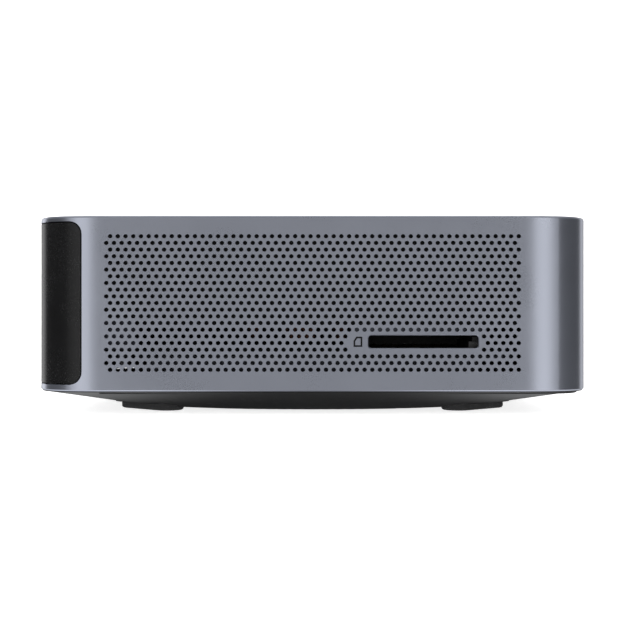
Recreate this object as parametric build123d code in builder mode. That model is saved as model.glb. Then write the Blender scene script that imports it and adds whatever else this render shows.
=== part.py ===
from build123d import *
from math import cos, radians, sin, sqrt
import os

# Mini PC. Millimetres, +Z up, front on -Y, +X on the right of someone facing the front.
# The origin is on the surface the feet stand on, under the middle of the body.

# --- driving dimensions ---------------------------------------------------------
WIDTH = 135.0
DEPTH = 132.0
HEIGHT = 46.9

# enclosure
BODY_BOTTOM = 5.85                  # lower edge of the aluminium
WALL = 1.5
TOP_SKIN = 1.25
ROOF = HEIGHT - TOP_SKIN            # underside of the top skin
RIM_R = 0.6
CORNER_GENTLE = 28.0                # radius where a corner leaves and meets the straight sides
CORNER_TIGHT = 10.7                 # radius in the middle of a corner
CORNER_LEAD = 15.0                  # degrees turned on each gentle arc
LUG_TOP = 22.5                      # corner lugs that the board is screwed to
LUG_X = 57.0
LUG_FRONT_Y = -55.0
LUG_REAR_Y = 46.0
LUG_HOLE_DEPTH = 5.5

# drilled grille on both sides
HOLE_PITCH = 1.8
HOLE_R = 0.51
HOLE_ROWS = 21
HOLE_COLUMNS = 54
ROW_PITCH = HOLE_PITCH * sqrt(3) / 2
GRILLE_TOP = 42.1                   # height of the uppermost row
HOLE_STAGGER = HOLE_PITCH / 4
FIELD_Y = 49.4                      # the drilled field reaches this far, front and rear
FIELD_TOP = 43.3
FIELD_BOTTOM = 9.7
SEAM = 0.01                         # the panels of a field stay this far inside their stretch

# card slot and pictogram, left side
SLOT_Y = -25.9
SLOT_Z = 17.45
SLOT_LENGTH = 25.6
SLOT_HEIGHT = 3.0
SLOT_CORNER = 0.6
ICON_Y = -10.6
ICON_W = 2.05
ICON_H = 2.4
ICON_CLIP = 0.6
ICON_LINE = 0.25
ICON_DEPTH = 0.12
SLOT_FRAME_Y = (-39.2, -8.4)        # the undrilled stretch round slot and pictogram
SLOT_FRAME_Z = (14.82, 19.5)

# rear panel, and the window it fills
WINDOW_FRONT_Y = 53.92
WINDOW_BOTTOM = 7.35
WINDOW_END_R = 3.0
PANEL_GAP = 0.28
PANEL_WALL = 1.8
TONGUE_REACH = 2.2                  # how far its inner tongues reach in behind the aluminium
EXHAUST_SLOTS = 19
EXHAUST_PITCH = 3.2
EXHAUST_W = 1.7
EXHAUST_LENGTH = 9.4

# board
BOARD_BOTTOM = 14.0
BOARD_TOP = 15.6
BOARD_HALF_W = 61.0
BOARD_FRONT_Y = -62.0
BOARD_REAR_Y = 61.0

# ports: their mouths lie this far from the middle, front and rear
MOUTH_Y = 65.7
CUT_GAP = 0.25                      # play between a connector and the cut-out round it
PORT_SKIN = 0.35
SOCKET_BACK = 0.5                   # thickness of a connector shell's back
SOCKET_BASE_START = 4.0             # its base on the board starts this far behind the mouth
INSERT_BLOCK = 2.5                  # length of the insulator behind the tongue
INSERT_PLAY = 0.04
TONGUE_SET_BACK = 1.2
PORT_MARGIN = 2 * (PORT_SKIN + CUT_GAP)
USB = (12.5, 5.1, 0.4)              # opening: width, height, corner radius
USB_C = (8.4, 2.6, 1.25)
HDMI = (14.1, 4.6, 1.0)
FRONT_PORT_Z = 18.5
FRONT_USB_X = (-33.0, -15.0)
FRONT_USB_C_X = 0.0
AUDIO_X = 13.0
AUDIO_R = 1.8
AUDIO_NOSE_R = 2.8
AUDIO_DEPTH = 12.0
LIGHT_X = 24.0
LIGHT_R = 0.9
DC_X = 40.0
DC_Z = 20.8
DC_R = 3.1
DC_DEPTH = 9.5
REAR_USB_C_X = 26.5
REAR_USB_C_Z = (18.4, 25.0)
REAR_USB_C_OUT = (9.8, 10.6, 1.8)
HDMI_X = (10.5, -7.5)
HDMI_Z = 18.4
LAN_X = -24.5
LAN_Z = 22.4
LAN_W = 16.2
LAN_H = 13.4
REAR_USB_X = -40.8
REAR_USB_Z = (19.0, 27.0)
REAR_USB_W = 13.6
REAR_USB_H = 14.4
LAN_DEPTH = 15.0
LAN_SKIN = 0.4
LAN_PLUG = (11.9, 7.9)
LAN_PLUG_Z = LAN_Z + 0.9

# power button
BUTTON_X = 40.0
BUTTON_Z = 23.6
BUTTON_R = 5.4
BUTTON_TRAVEL = 0.6
RING_R = 6.4

BUTTON_FLANGE_R = 6.1
BUTTON_EDGE_R = 0.35
FLANGE_T = 0.8
STEM_R = 1.5
STEM_END_Y = -61.2
CARRIER_Y = -62.4                   # front of the plate that guides the stem
CARRIER_W = 20.0
CARRIER_H = 14.0
CARRIER_T = 0.9
SWITCH_Y = (-59.6, -55.6)
SWITCH_HALF_W = 3.2
PLUNGER_Y = -60.4
PLUNGER_R = 1.6

# base and feet
BASE_EDGE_Z = 5.65
BASE_EDGE_INSET = 0.4
BASE_FLAT_R = 57.0
BASE_FLAT_Z = 0.7
BASE_WALL = 1.8
BASE_SOFTENING = 12.0
FOOT_X = 42.0
FOOT_Y = 40.5
FOOT_LENGTH = 20.2
FOOT_W = 8.0
FOOT_TOP = 2.2
BRACKET_SPACING = 60.0
INSERT_R = 2.1
INSERT_BORE_R = 1.25
INSERT_TOP = 6.5
COVER_BEARING_Z = 4.2               # where the cover screws' heads bear
RIM_END_Y = 50.0
INTAKE_Y = 22.0
INTAKE_PITCH = 3.4
INTAKE_ROWS = 6
INTAKE_LENGTH = 32.0
INTAKE_W = 1.7
LABEL_LENGTH = 42.0
LABEL_W = 14.0
LABEL_DEPTH = 0.15
BOSS_TOP = 4.0
FOOT_COLUMN_R = 4.8
FOOT_EDGE_R = 0.7
FOOT_PLAY = 0.15

# inner frame
FRAME_BOTTOM = 12.8
LEG_BOTTOM = 7.0
SKIRT_BOTTOM = 8.6
SKIRT_HALF = 39.5
SKIRT_INSET = 8.1                   # from the body's side to the middle of a skirt
SKIRT_T = 1.2
FRAME_INSET = 7.5
OPENING_X = 49.5                    # half of the frame's opening
OPENING_Y = 44.5
TAB_X = 38.0                        # corner tabs reach in to here
TAB_Y = 37.2
LEG_R = 3.2

# memory, drive, wireless card and clock cell
MEMORY_HALF = 33.8
MODULE_X = 31.75                    # middle of a module, left and right
MODULE_HALF_W = 15.0
MODULE_Z = (11.35, 12.55)
MEMORY_CHIP_H = 1.0
MEMORY_SOCKET_X = 16.75
MEMORY_ARM_X = 26.0
SOCKET_DROP = 4.0                   # a memory socket hangs this far below the board
CARD_W = 21.8
CARD_T = 0.8
CARD_NOTCH_R = 1.8
DRIVE_Y = 1.6
DRIVE_LENGTH = 80.0
DRIVE_DROP = 4.05
DRIVE_SCREW_Y = 41.6
WIRELESS_X = -18.0
WIRELESS_Y = -30.6
WIRELESS_LENGTH = 30.0
WIRELESS_RISE = 2.0
WIRELESS_SCREW_Y = -15.6
CELL_X = 15.0
CELL_Y = -36.0
CELL_R = 10.0
CELL_T = 3.2
CELL_RISE = 1.4
HOLDER_R = 11.6

# dust screens behind the drilled fields, notched round the rear lugs; the left one ends above the card reader
SCREEN_Y = 48.8
SCREEN_Z = (22.8, 43.6)
SCREEN_T = 0.4
SCREEN_NOTCH_Y = LUG_REAR_Y - 4.8
SCREEN_LEFT_LOW = 21.2
SCREEN_RIGHT_LOW = 9.9
SCREEN_LUG_LOW = 15.2

# cooling
FAN_Y = 10.0
BLOWER_BOTTOM = 32.0
BLOWER_TOP = 44.0
BLOWER_R = 33.0
BLOWER_SKIN = 1.0
DUCT_HALF = 31.0
DUCT_END_Y = 49.0
BLOWER_EARS = ((-36.0, -3.0), (-36.0, 27.0), (27.0, -16.0))
FIN_Y = (49.6, 62.2)
FIN_PITCH = 1.55
FIN_SKIN = 0.4
FIN_COUNT = 40
PIPE_R = 2.5
PIPE_BORE_R = 2.52
PIPE_TOP_Z = 38.0
PIPE_LOW_Z = 21.8
PIPE_Y = (2.0, 10.0)                # where each pipe crosses the cold plate
PIPE_X = (45.0, 37.5)               # where each pipe climbs
PIPE_FIN_Y = (59.0, 53.0)           # where each pipe threads the fins
CPU_Y = 6.0
PACKAGE_T = 1.2
DIE_TOP = BOARD_TOP + 1.8
PLATE_TOP = 21.4
PLATE_W = 53.0
PLATE_DEPTH = 35.0
EAR_R = 5.6
HUB_SEAT_R = 8.0
INTAKE_R = 20.0
TUBE_R = 2.2
SHAFT_R = 1.0
SHAFT_PLAY = 0.05
COIL_Z = 2.0                        # coils start this far above the blower's floor
COIL_H = 4.0
HUB_R = 12.0
HUB_WALL = 1.2
HUB_BOTTOM = BLOWER_BOTTOM + 2.2
HUB_TOP = 42.4
BLADES = 29
BLADE_BOTTOM = BLOWER_BOTTOM + 2.4
BLADE_TOP = HUB_TOP - 0.4
BLADE_ROOT_R = 15.0
BLADE_TIP_R = 28.5
BLADE_SWEEP = 20.0
BLADE_TURN = 1.7                    # degrees between a blade's two faces
WEB_RISE = 5.6                      # the disc that carries the blades
WEB_T = 0.8

# card reader
READER_Y = (-41.0, -9.5)
READER_X = (-65.6, -37.0)
READER_TOP = 21.1
READER_SKIN = 0.4

HEAD_R = 2.8                        # M3 pan-head screw
HEAD_H = 1.7
SCREW_LENGTH = 7.0
SCREW_R = 1.42
TAPPED_R = 1.45                     # the hole it turns in
CARD_SCREW = (2.6, 1.0, 0.7, 1.2)   # head radius and height, length, shank radius

os.makedirs("parts", exist_ok=True)


# --- helpers --------------------------------------------------------------------
def save(builder, name):
    builder.part.label = name
    export_step(builder.part, f"parts/{name}.step")


def rounded_plan(z, half_x, half_y, gentle, tight):
    """A rounded square on the plane at height z, made of four sides and twelve arcs."""
    lead = radians(CORNER_LEAD)
    reach = gentle * (sin(lead) + 1 - cos(lead)) + tight * (cos(lead) - sin(lead))
    arcs = ((gentle, CORNER_LEAD), (tight, 90 - 2 * CORNER_LEAD), (gentle, CORNER_LEAD))
    with BuildSketch(Plane.XY.offset(z)) as plan:
        with BuildLine():
            spot = Vector(reach - half_x, -half_y, 0)
            heading = 0
            for half_side in (half_x, half_y, half_x, half_y):
                piece = PolarLine(spot, 2 * (half_side - reach), heading)
                for radius, turn in arcs:
                    piece = JernArc(piece @ 1, piece % 1, radius, turn)
                spot = piece @ 1
                heading += 90
        make_face()
    return plan.sketch


def body_plan(z, inset):
    """The enclosure's plan outline, drawn in by inset."""
    half_x = WIDTH / 2 - inset
    half_y = DEPTH / 2 - inset
    return rounded_plan(z, half_x, half_y, CORNER_GENTLE - inset, CORNER_TIGHT - inset)


def bowl(inset, soften):
    """The dished base as a solid, from the body's outline down to a round flat.

    inset draws it in and raises it by the same amount, so that two of them make a skin.
    """
    near = BASE_FLAT_R - inset
    with BuildPart() as dish:
        add(rounded_plan(BASE_FLAT_Z + inset, near, near, near - 1, near - 1))
        add(body_plan(BASE_EDGE_Z + inset, BASE_EDGE_INSET + inset))
        loft(ruled=True)
        fillet(dish.edges().group_by(Axis.Z)[0], soften)
    return dish.part


def wall_band(z0, z1, outer, inner):
    """A ring that follows the body's outline between two heights and two insets."""
    with BuildPart() as band:
        add(body_plan(z0, outer))
        extrude(amount=z1 - z0)
        add(body_plan(z0, inner))
        extrude(amount=z1 - z0, mode=Mode.SUBTRACT)
    return band.part


def block(low, high):
    """A plain block from one corner to the other."""
    size = [b - a for a, b in zip(low, high)]
    centre = [(a + b) / 2 for a, b in zip(low, high)]
    return Pos(*centre) * Box(*size, mode=Mode.PRIVATE)


def mirrored_spots(x, y):
    return [(sx * x, sy * y) for sx in (-1, 1) for sy in (-1, 1)]


def mouth(rear, x, z):
    """The plane of a port's mouth: its own x runs along the face, its y is up, its z points out."""
    side = 1 if rear else -1
    return Plane(origin=(x, side * MOUTH_Y, z), x_dir=(-side, 0, 0), z_dir=(0, side, 0))


def grille_points(y0, y1, z0, z1):
    """Centres (y, z) of the grille holes inside a field."""
    points = []
    for row in range(HOLE_ROWS):
        z = GRILLE_TOP - row * ROW_PITCH
        shift = HOLE_STAGGER if row % 2 else -HOLE_STAGGER
        for column in range(HOLE_COLUMNS):
            y = (column - (HOLE_COLUMNS - 1) / 2) * HOLE_PITCH + shift
            if y0 < y < y1 and z0 < z < z1:
                points.append((y, z))
    return points


def screw(x, y, bearing_z, head_r, head_h, length, shank_r, up=True):
    """A pan-head screw with a hexagon socket, its head bearing at bearing_z, its shank up or down."""
    way = 1 if up else -1
    with BuildPart() as fastener:
        with BuildSketch(Plane.XY.offset(bearing_z)):
            with Locations((x, y)):
                Circle(head_r)
        extrude(amount=-way * head_h)
        with BuildSketch(Plane.XY.offset(bearing_z)):
            with Locations((x, y)):
                Circle(shank_r)
        extrude(amount=way * length)
        with BuildSketch(Plane.XY.offset(bearing_z - way * head_h)):
            with Locations((x, y)):
                RegularPolygon(head_r * 0.5, 6)
        extrude(amount=way * head_h * 0.6, mode=Mode.SUBTRACT)
    return fastener.part


# --- enclosure ------------------------------------------------------------------
def window_block(gap):
    """A block through the rear window, drawn in by gap, with its front corners rounded."""
    low_y = WINDOW_FRONT_Y + gap
    low_z = WINDOW_BOTTOM + gap
    far_y = DEPTH / 2 + 10
    high_z = ROOF - gap
    with BuildPart() as opening:
        with BuildSketch(Plane.YZ.offset(-WIDTH)) as profile:
            with Locations(((low_y + far_y) / 2, (low_z + high_z) / 2)):
                Rectangle(far_y - low_y, high_z - low_z)
            fillet(profile.vertices().group_by(Axis.X)[0], WINDOW_END_R - gap)
        extrude(amount=2 * WIDTH)
    return opening.part


def lug_sketch():
    """Blocks in the corners that the board is screwed up against."""
    with BuildSketch(Plane.XY.offset(BOARD_TOP)) as lugs:
        for side in (-1, 1):
            with Locations((side * (LUG_X + 4), LUG_FRONT_Y - 3)):
                Rectangle(17, 15)
            with Locations((side * (LUG_X + 4), LUG_REAR_Y + 4.6)):
                Rectangle(17, 2)
        add(body_plan(BOARD_TOP, WALL / 2), mode=Mode.INTERSECT)
    with BuildSketch(Plane.XY.offset(BOARD_TOP)) as rear_lugs:
        for side in (-1, 1):
            with Locations((side * (LUG_X + 4), LUG_REAR_Y + 0.6)):
                Rectangle(17, 10)
        add(body_plan(BOARD_TOP, WALL), mode=Mode.INTERSECT)
    return lugs.sketch + rear_lugs.sketch


lug_spots = [(side * LUG_X, y) for side in (-1, 1) for y in (LUG_FRONT_Y, LUG_REAR_Y)]
left_face = Plane(origin=(-WIDTH / 2, 0, 0), x_dir=(0, -1, 0), z_dir=(-1, 0, 0))
right_face = Plane(origin=(WIDTH / 2, 0, 0), x_dir=(0, 1, 0), z_dir=(1, 0, 0))

with BuildPart() as enclosure_shell:
    add(body_plan(BODY_BOTTOM, 0))
    extrude(amount=HEIGHT - BODY_BOTTOM)
    fillet(enclosure_shell.edges().group_by(Axis.Z)[-1], RIM_R)
    chamfer(enclosure_shell.edges().group_by(Axis.Z)[0], 0.3)
    add(body_plan(BODY_BOTTOM, WALL))
    extrude(amount=ROOF - BODY_BOTTOM, mode=Mode.SUBTRACT)
    # openings that the two drilled side fields fill
    with BuildSketch(Plane.YZ.offset(-WIDTH)):
        with Locations((0, (FIELD_TOP + FIELD_BOTTOM) / 2)):
            Rectangle(2 * FIELD_Y, FIELD_TOP - FIELD_BOTTOM)
    extrude(amount=2 * WIDTH, mode=Mode.SUBTRACT)
    # rear window
    add(window_block(0), mode=Mode.SUBTRACT)
    add(lug_sketch())
    extrude(amount=LUG_TOP - BOARD_TOP)
    with BuildSketch(Plane.XY.offset(BOARD_TOP)):
        with Locations(*lug_spots):
            Circle(TAPPED_R)
    extrude(amount=LUG_HOLE_DEPTH, mode=Mode.SUBTRACT)
    # front cut-outs
    with BuildSketch(mouth(False, 0, FRONT_PORT_Z)):
        with Locations(*[(x, 0) for x in FRONT_USB_X]):
            RectangleRounded(USB[0] + PORT_MARGIN, USB[1] + PORT_MARGIN, USB[2] + PORT_MARGIN / 2)
        with Locations((FRONT_USB_C_X, 0)):
            RectangleRounded(USB_C[0] + PORT_MARGIN, USB_C[1] + PORT_MARGIN, USB_C[2] + PORT_MARGIN / 2)
        with Locations((AUDIO_X, 0)):
            Circle(AUDIO_NOSE_R + CUT_GAP)
        with Locations((LIGHT_X, 0)):
            Circle(LIGHT_R + 0.1)
        with Locations((BUTTON_X, BUTTON_Z - FRONT_PORT_Z)):
            Circle(RING_R)
    extrude(amount=2 * WALL, both=True, mode=Mode.SUBTRACT)
save(enclosure_shell, "enclosure_shell")


def drilled_field(face, way, fields):
    """Flat panels as thick as the wall, each a box (y0, y1, z0, z1) with its share of the holes.

    Each panel's face is made with its holes as inner wires, because a thousand cuts are slow.
    """
    with BuildPart() as panels:
        for y0, y1, z0, z1 in fields:
            low_y, high_y, low_z, high_z = y0 + SEAM, y1 - SEAM, z0 + SEAM, z1 - SEAM
            corners = ((low_y, low_z), (high_y, low_z), (high_y, high_z), (low_y, high_z))
            corners = [(way * y, z) for y, z in corners]
            outline = Wire.make_polygon([Vector(*corner) for corner in corners], close=True)
            spots = grille_points(y0, y1, z0, z1)
            rims = [Wire.make_circle(HOLE_R, Plane((way * y, z, 0))) for y, z in spots]
            extrude(face * Face(outline, rims), amount=WALL, dir=-face.z_dir)
    return panels


# the left field stops short of the card slot: a strip above, one below and one at each end
save(
    drilled_field(
        left_face,
        -1,
        (
            (-FIELD_Y, FIELD_Y, SLOT_FRAME_Z[1], FIELD_TOP),
            (-FIELD_Y, FIELD_Y, FIELD_BOTTOM, SLOT_FRAME_Z[0]),
            (-FIELD_Y, SLOT_FRAME_Y[0], *SLOT_FRAME_Z),
            (SLOT_FRAME_Y[1], FIELD_Y, *SLOT_FRAME_Z),
        ),
    ),
    "side_grille_left",
)
save(
    drilled_field(right_face, 1, ((-FIELD_Y, FIELD_Y, FIELD_BOTTOM, FIELD_TOP),)),
    "side_grille_right",
)

with BuildPart() as card_slot_frame:
    with BuildSketch(left_face):
        with Locations((-sum(SLOT_FRAME_Y) / 2, sum(SLOT_FRAME_Z) / 2)):
            Rectangle(SLOT_FRAME_Y[1] - SLOT_FRAME_Y[0], SLOT_FRAME_Z[1] - SLOT_FRAME_Z[0])
        with Locations((-SLOT_Y, SLOT_Z)):
            RectangleRounded(SLOT_LENGTH, SLOT_HEIGHT, SLOT_CORNER, mode=Mode.SUBTRACT)
    extrude(amount=-WALL)
    with BuildSketch(left_face):
        with Locations((-ICON_Y, SLOT_Z)):
            with BuildSketch(mode=Mode.PRIVATE) as card:
                with BuildLine():
                    Polyline(
                        (-ICON_W / 2, -ICON_H / 2),
                        (ICON_W / 2, -ICON_H / 2),
                        (ICON_W / 2, ICON_H / 2),
                        (ICON_CLIP - ICON_W / 2, ICON_H / 2),
                        (-ICON_W / 2, ICON_H / 2 - ICON_CLIP),
                        close=True,
                    )
                make_face()
                offset(amount=-ICON_LINE, mode=Mode.SUBTRACT)
            add(card.sketch)
        with Locations((-ICON_Y, SLOT_Z + ICON_H / 5)):
            with GridLocations(ICON_W / 4, 1, 3, 1):
                Rectangle(ICON_LINE * 0.8, ICON_H / 4)
    extrude(amount=-ICON_DEPTH, mode=Mode.SUBTRACT)
save(card_slot_frame, "card_slot_frame")


# --- rear panel -----------------------------------------------------------------
def corner_band(z0, z1, outer, inner, y0, y1):
    """The stretches of a wall band between two depths, one on each side of the body."""
    middle = (y0 + y1) / 2
    keep = Pos(0, middle, HEIGHT / 2) * Box(2 * WIDTH, y1 - y0, 2 * HEIGHT, mode=Mode.PRIVATE)
    return wall_band(z0, z1, outer, inner) & keep


with BuildPart() as rear_panel:
    add(wall_band(WINDOW_BOTTOM, ROOF, 0, PANEL_WALL))
    add(window_block(PANEL_GAP), mode=Mode.INTERSECT)
    # tongues that reach in behind the aluminium at both ends
    tongue_y = (WINDOW_FRONT_Y - TONGUE_REACH, WINDOW_FRONT_Y + TONGUE_REACH)
    add(corner_band(WINDOW_BOTTOM + 2, ROOF - 2, WALL + 0.15, WALL + 1.5, *tongue_y))
    with BuildSketch(mouth(True, 0, 0)):
        with Locations((-DC_X, DC_Z)):
            Circle(DC_R + 1.0 + CUT_GAP)
        with Locations((-REAR_USB_C_X, sum(REAR_USB_C_Z) / 2)):
            RectangleRounded(*[size + 2 * CUT_GAP for size in REAR_USB_C_OUT[:2]], REAR_USB_C_OUT[2])
        with Locations(*[(-x, HDMI_Z) for x in HDMI_X]):
            RectangleRounded(HDMI[0] + PORT_MARGIN, HDMI[1] + PORT_MARGIN, HDMI[2] + PORT_MARGIN / 2)
        with Locations((-LAN_X, LAN_Z)):
            Rectangle(LAN_W + 2 * CUT_GAP, LAN_H + 2 * CUT_GAP)
        with Locations((-REAR_USB_X, sum(REAR_USB_Z) / 2)):
            Rectangle(REAR_USB_W + 2 * CUT_GAP, REAR_USB_H + 2 * CUT_GAP)
        with Locations((0, (BLOWER_BOTTOM + BLOWER_TOP) / 2)):
            with GridLocations(EXHAUST_PITCH, 1, EXHAUST_SLOTS, 1):
                SlotOverall(EXHAUST_LENGTH, EXHAUST_W, rotation=90)
    extrude(amount=2 * PANEL_WALL, both=True, mode=Mode.SUBTRACT)
save(rear_panel, "rear_panel")


# --- base, feet and what is screwed to it -----------------------------------------
foot_spots = mirrored_spots(FOOT_X, FOOT_Y)
foot_turns = [135 if x * y > 0 else 45 for x, y in foot_spots]


def foot_shapes(z, grow):
    """Four capsules laid across the corners, on the plane at height z."""
    with BuildSketch(Plane.XY.offset(z)) as capsules:
        for spot, turn in zip(foot_spots, foot_turns):
            with Locations(spot):
                SlotOverall(FOOT_LENGTH + 2 * grow, FOOT_W + 2 * grow, rotation=turn)
    return capsules.sketch


bracket_spots = [(-BRACKET_SPACING / 2, 0), (BRACKET_SPACING / 2, 0)]
with BuildPart() as bottom_cover:
    add(bowl(0, BASE_SOFTENING))
    add(bowl(BASE_WALL, BASE_SOFTENING - BASE_WALL), mode=Mode.SUBTRACT)
    # rim that locates inside the walls, left out where the rear panel comes down
    rim = corner_band(BASE_EDGE_Z - 0.5, BASE_EDGE_Z + 2.2, WALL + 0.2, WALL + 1.5, -DEPTH, RIM_END_Y)
    add(rim)
    # pads behind the feet, columns for the cover screws and the bracket inserts
    add(foot_shapes(BASE_FLAT_Z + 1, BASE_WALL - 0.2))
    extrude(amount=BOSS_TOP - BASE_FLAT_Z - 1)
    with BuildSketch(Plane.XY.offset(BASE_FLAT_Z + 1)):
        with Locations(*foot_spots):
            Circle(FOOT_COLUMN_R)
    extrude(amount=LEG_BOTTOM - BASE_FLAT_Z - 1)
    with BuildSketch(Plane.XY.offset(BASE_FLAT_Z + 1)):
        with Locations(*bracket_spots):
            Circle(INSERT_R + 1.9)
    extrude(amount=INSERT_TOP - BASE_FLAT_Z - 1)
    add(foot_shapes(-1, FOOT_PLAY))
    extrude(amount=FOOT_TOP + 1, mode=Mode.SUBTRACT)
    with BuildSketch(Plane.XY):
        with Locations(*foot_spots):
            Circle(HEAD_R + 0.3)
    extrude(amount=COVER_BEARING_Z, mode=Mode.SUBTRACT)
    with BuildSketch(Plane.XY):
        with Locations(*foot_spots):
            Circle(SCREW_R + 0.2)
        with Locations(*bracket_spots):
            Circle(INSERT_R)
    extrude(amount=LEG_BOTTOM + 1, mode=Mode.SUBTRACT)
    # intake slots and a shallow blank recess for a rating label
    with BuildSketch(Plane.XY):
        for y in (-INTAKE_Y, INTAKE_Y):
            with Locations((0, y)):
                with GridLocations(1, INTAKE_PITCH, 1, INTAKE_ROWS):
                    SlotOverall(INTAKE_LENGTH, INTAKE_W)
    extrude(amount=BOSS_TOP, mode=Mode.SUBTRACT)
    with BuildSketch(Plane.XY):
        RectangleRounded(LABEL_LENGTH, LABEL_W, 1.5)
    extrude(amount=BASE_FLAT_Z + LABEL_DEPTH, mode=Mode.SUBTRACT)
save(bottom_cover, "bottom_cover")

foot_names = ("foot_front_left", "foot_rear_left", "foot_front_right", "foot_rear_right")
for foot_name, spot, turn in zip(foot_names, foot_spots, foot_turns):
    with BuildPart() as foot:
        with BuildSketch():
            with Locations(spot):
                SlotOverall(FOOT_LENGTH, FOOT_W, rotation=turn)
        extrude(amount=FOOT_TOP)
        fillet(foot.edges().group_by(Axis.Z)[0], FOOT_EDGE_R)
    save(foot, foot_name)

with BuildPart() as bracket_inserts:
    with BuildSketch(Plane.XY.offset(BASE_FLAT_Z + 0.05)):
        with Locations(*bracket_spots):
            Circle(INSERT_R)
            Circle(INSERT_BORE_R, mode=Mode.SUBTRACT)
    extrude(amount=INSERT_TOP - BASE_FLAT_Z - 0.6)
save(bracket_inserts, "bracket_inserts")


# --- inner frame and board --------------------------------------------------------
with BuildPart() as inner_frame:
    with BuildSketch(Plane.XY.offset(FRAME_BOTTOM)):
        add(body_plan(FRAME_BOTTOM, FRAME_INSET))
        with Locations(*lug_spots):
            Circle(5.0)
        Rectangle(2 * OPENING_X, 2 * OPENING_Y, mode=Mode.SUBTRACT)
        with Locations(*mirrored_spots((OPENING_X + TAB_X) / 2, (OPENING_Y + TAB_Y) / 2)):
            Rectangle(OPENING_X - TAB_X + 1, OPENING_Y - TAB_Y + 1)
    extrude(amount=BOARD_BOTTOM - FRAME_BOTTOM)
    # side skirts and the legs that the cover is screwed to
    with BuildSketch(Plane.XY.offset(SKIRT_BOTTOM)):
        for side in (-1, 1):
            with Locations((side * (WIDTH / 2 - SKIRT_INSET), 0)):
                Rectangle(SKIRT_T, 2 * SKIRT_HALF)
    extrude(amount=FRAME_BOTTOM - SKIRT_BOTTOM)
    with BuildSketch(Plane.XY.offset(LEG_BOTTOM)):
        with Locations(*foot_spots):
            Circle(LEG_R)
    extrude(amount=FRAME_BOTTOM - LEG_BOTTOM)
    with BuildSketch(Plane.XY.offset(LEG_BOTTOM)):
        with Locations(*foot_spots):
            Circle(TAPPED_R)
        with Locations(*lug_spots):
            Circle(SCREW_R + 0.15)
    extrude(amount=BOARD_BOTTOM - LEG_BOTTOM, mode=Mode.SUBTRACT)
save(inner_frame, "inner_frame")

with BuildPart() as motherboard:
    with BuildSketch(Plane.XY.offset(BOARD_BOTTOM)):
        with Locations((0, (BOARD_FRONT_Y + BOARD_REAR_Y) / 2)):
            Rectangle(2 * BOARD_HALF_W, BOARD_REAR_Y - BOARD_FRONT_Y)
        add(body_plan(BOARD_BOTTOM, 3.5), mode=Mode.INTERSECT)
        with Locations(*lug_spots):
            Circle(SCREW_R + 0.15, mode=Mode.SUBTRACT)
    extrude(amount=BOARD_TOP - BOARD_BOTTOM)
save(motherboard, "motherboard")

# memory: a socket and a module on each side of the middle, under the board
with BuildPart() as memory_sockets:
    for side in (-1, 1):
        with BuildSketch(Plane.XY.offset(BOARD_BOTTOM - SOCKET_DROP)):
            with Locations((side * MEMORY_SOCKET_X, 0)):
                Rectangle(6.5, 2 * MEMORY_HALF + 5.4)
            with Locations(*[(side * MEMORY_ARM_X, end * (MEMORY_HALF + 1.45)) for end in (-1, 1)]):
                Rectangle(22, 2.4)
        extrude(amount=SOCKET_DROP)
        # the groove that the module's edge sits in
        inner_x = side * (MODULE_X - MODULE_HALF_W - 0.26)
        outer_x = side * (MODULE_X - MODULE_HALF_W + 3.26)
        low_x, high_x = sorted((inner_x, outer_x))
        groove_low = (low_x, -MEMORY_HALF - 0.1, MODULE_Z[0] - 0.05)
        groove_high = (high_x, MEMORY_HALF + 0.1, MODULE_Z[1] + 0.05)
        add(block(groove_low, groove_high), mode=Mode.SUBTRACT)
save(memory_sockets, "memory_sockets")

with BuildPart() as memory_modules:
    for side in (-1, 1):
        middle_x = side * MODULE_X
        low = (middle_x - MODULE_HALF_W, -MEMORY_HALF, MODULE_Z[0])
        high = (middle_x + MODULE_HALF_W, MEMORY_HALF, MODULE_Z[1])
        add(block(low, high))
        # four chips on each face
        for low_z in (MODULE_Z[0] - MEMORY_CHIP_H, MODULE_Z[1]):
            with BuildSketch(Plane.XY.offset(low_z)):
                with Locations((side * (MODULE_X + 2.25), 0)):
                    with GridLocations(1, 16, 1, 4):
                        Rectangle(9, 12)
            extrude(amount=MEMORY_CHIP_H)
save(memory_modules, "memory_modules")

# drive under the board, wireless card on top of it, both in edge sockets
with BuildPart() as card_sockets:
    add(block((-11, -43.5, BOARD_BOTTOM - 4.4), (11, -36, BOARD_BOTTOM)))
    add(block((-11, -38.8, BOARD_BOTTOM - 4.1), (11, -35, BOARD_BOTTOM - 3.15)), mode=Mode.SUBTRACT)
    add(block((-29, -50, BOARD_TOP), (-7, -43, BOARD_TOP + 3.2)))
    add(block((-29, -45.8, BOARD_TOP + 1.95), (-7, -42, BOARD_TOP + 2.9)), mode=Mode.SUBTRACT)
save(card_sockets, "card_sockets")

with BuildPart() as solid_state_drive:
    with BuildSketch(Plane.XY.offset(BOARD_BOTTOM - DRIVE_DROP)):
        with Locations((0, DRIVE_Y)):
            Rectangle(CARD_W, DRIVE_LENGTH)
        with Locations((0, DRIVE_SCREW_Y)):
            Circle(CARD_NOTCH_R, mode=Mode.SUBTRACT)
    extrude(amount=CARD_T)
    with BuildSketch(Plane.XY.offset(BOARD_BOTTOM - DRIVE_DROP)):
        with Locations((0, 22), (0, 4), (0, -14)):
            Rectangle(16, 14)
    extrude(amount=-1.2)
save(solid_state_drive, "solid_state_drive")

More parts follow.
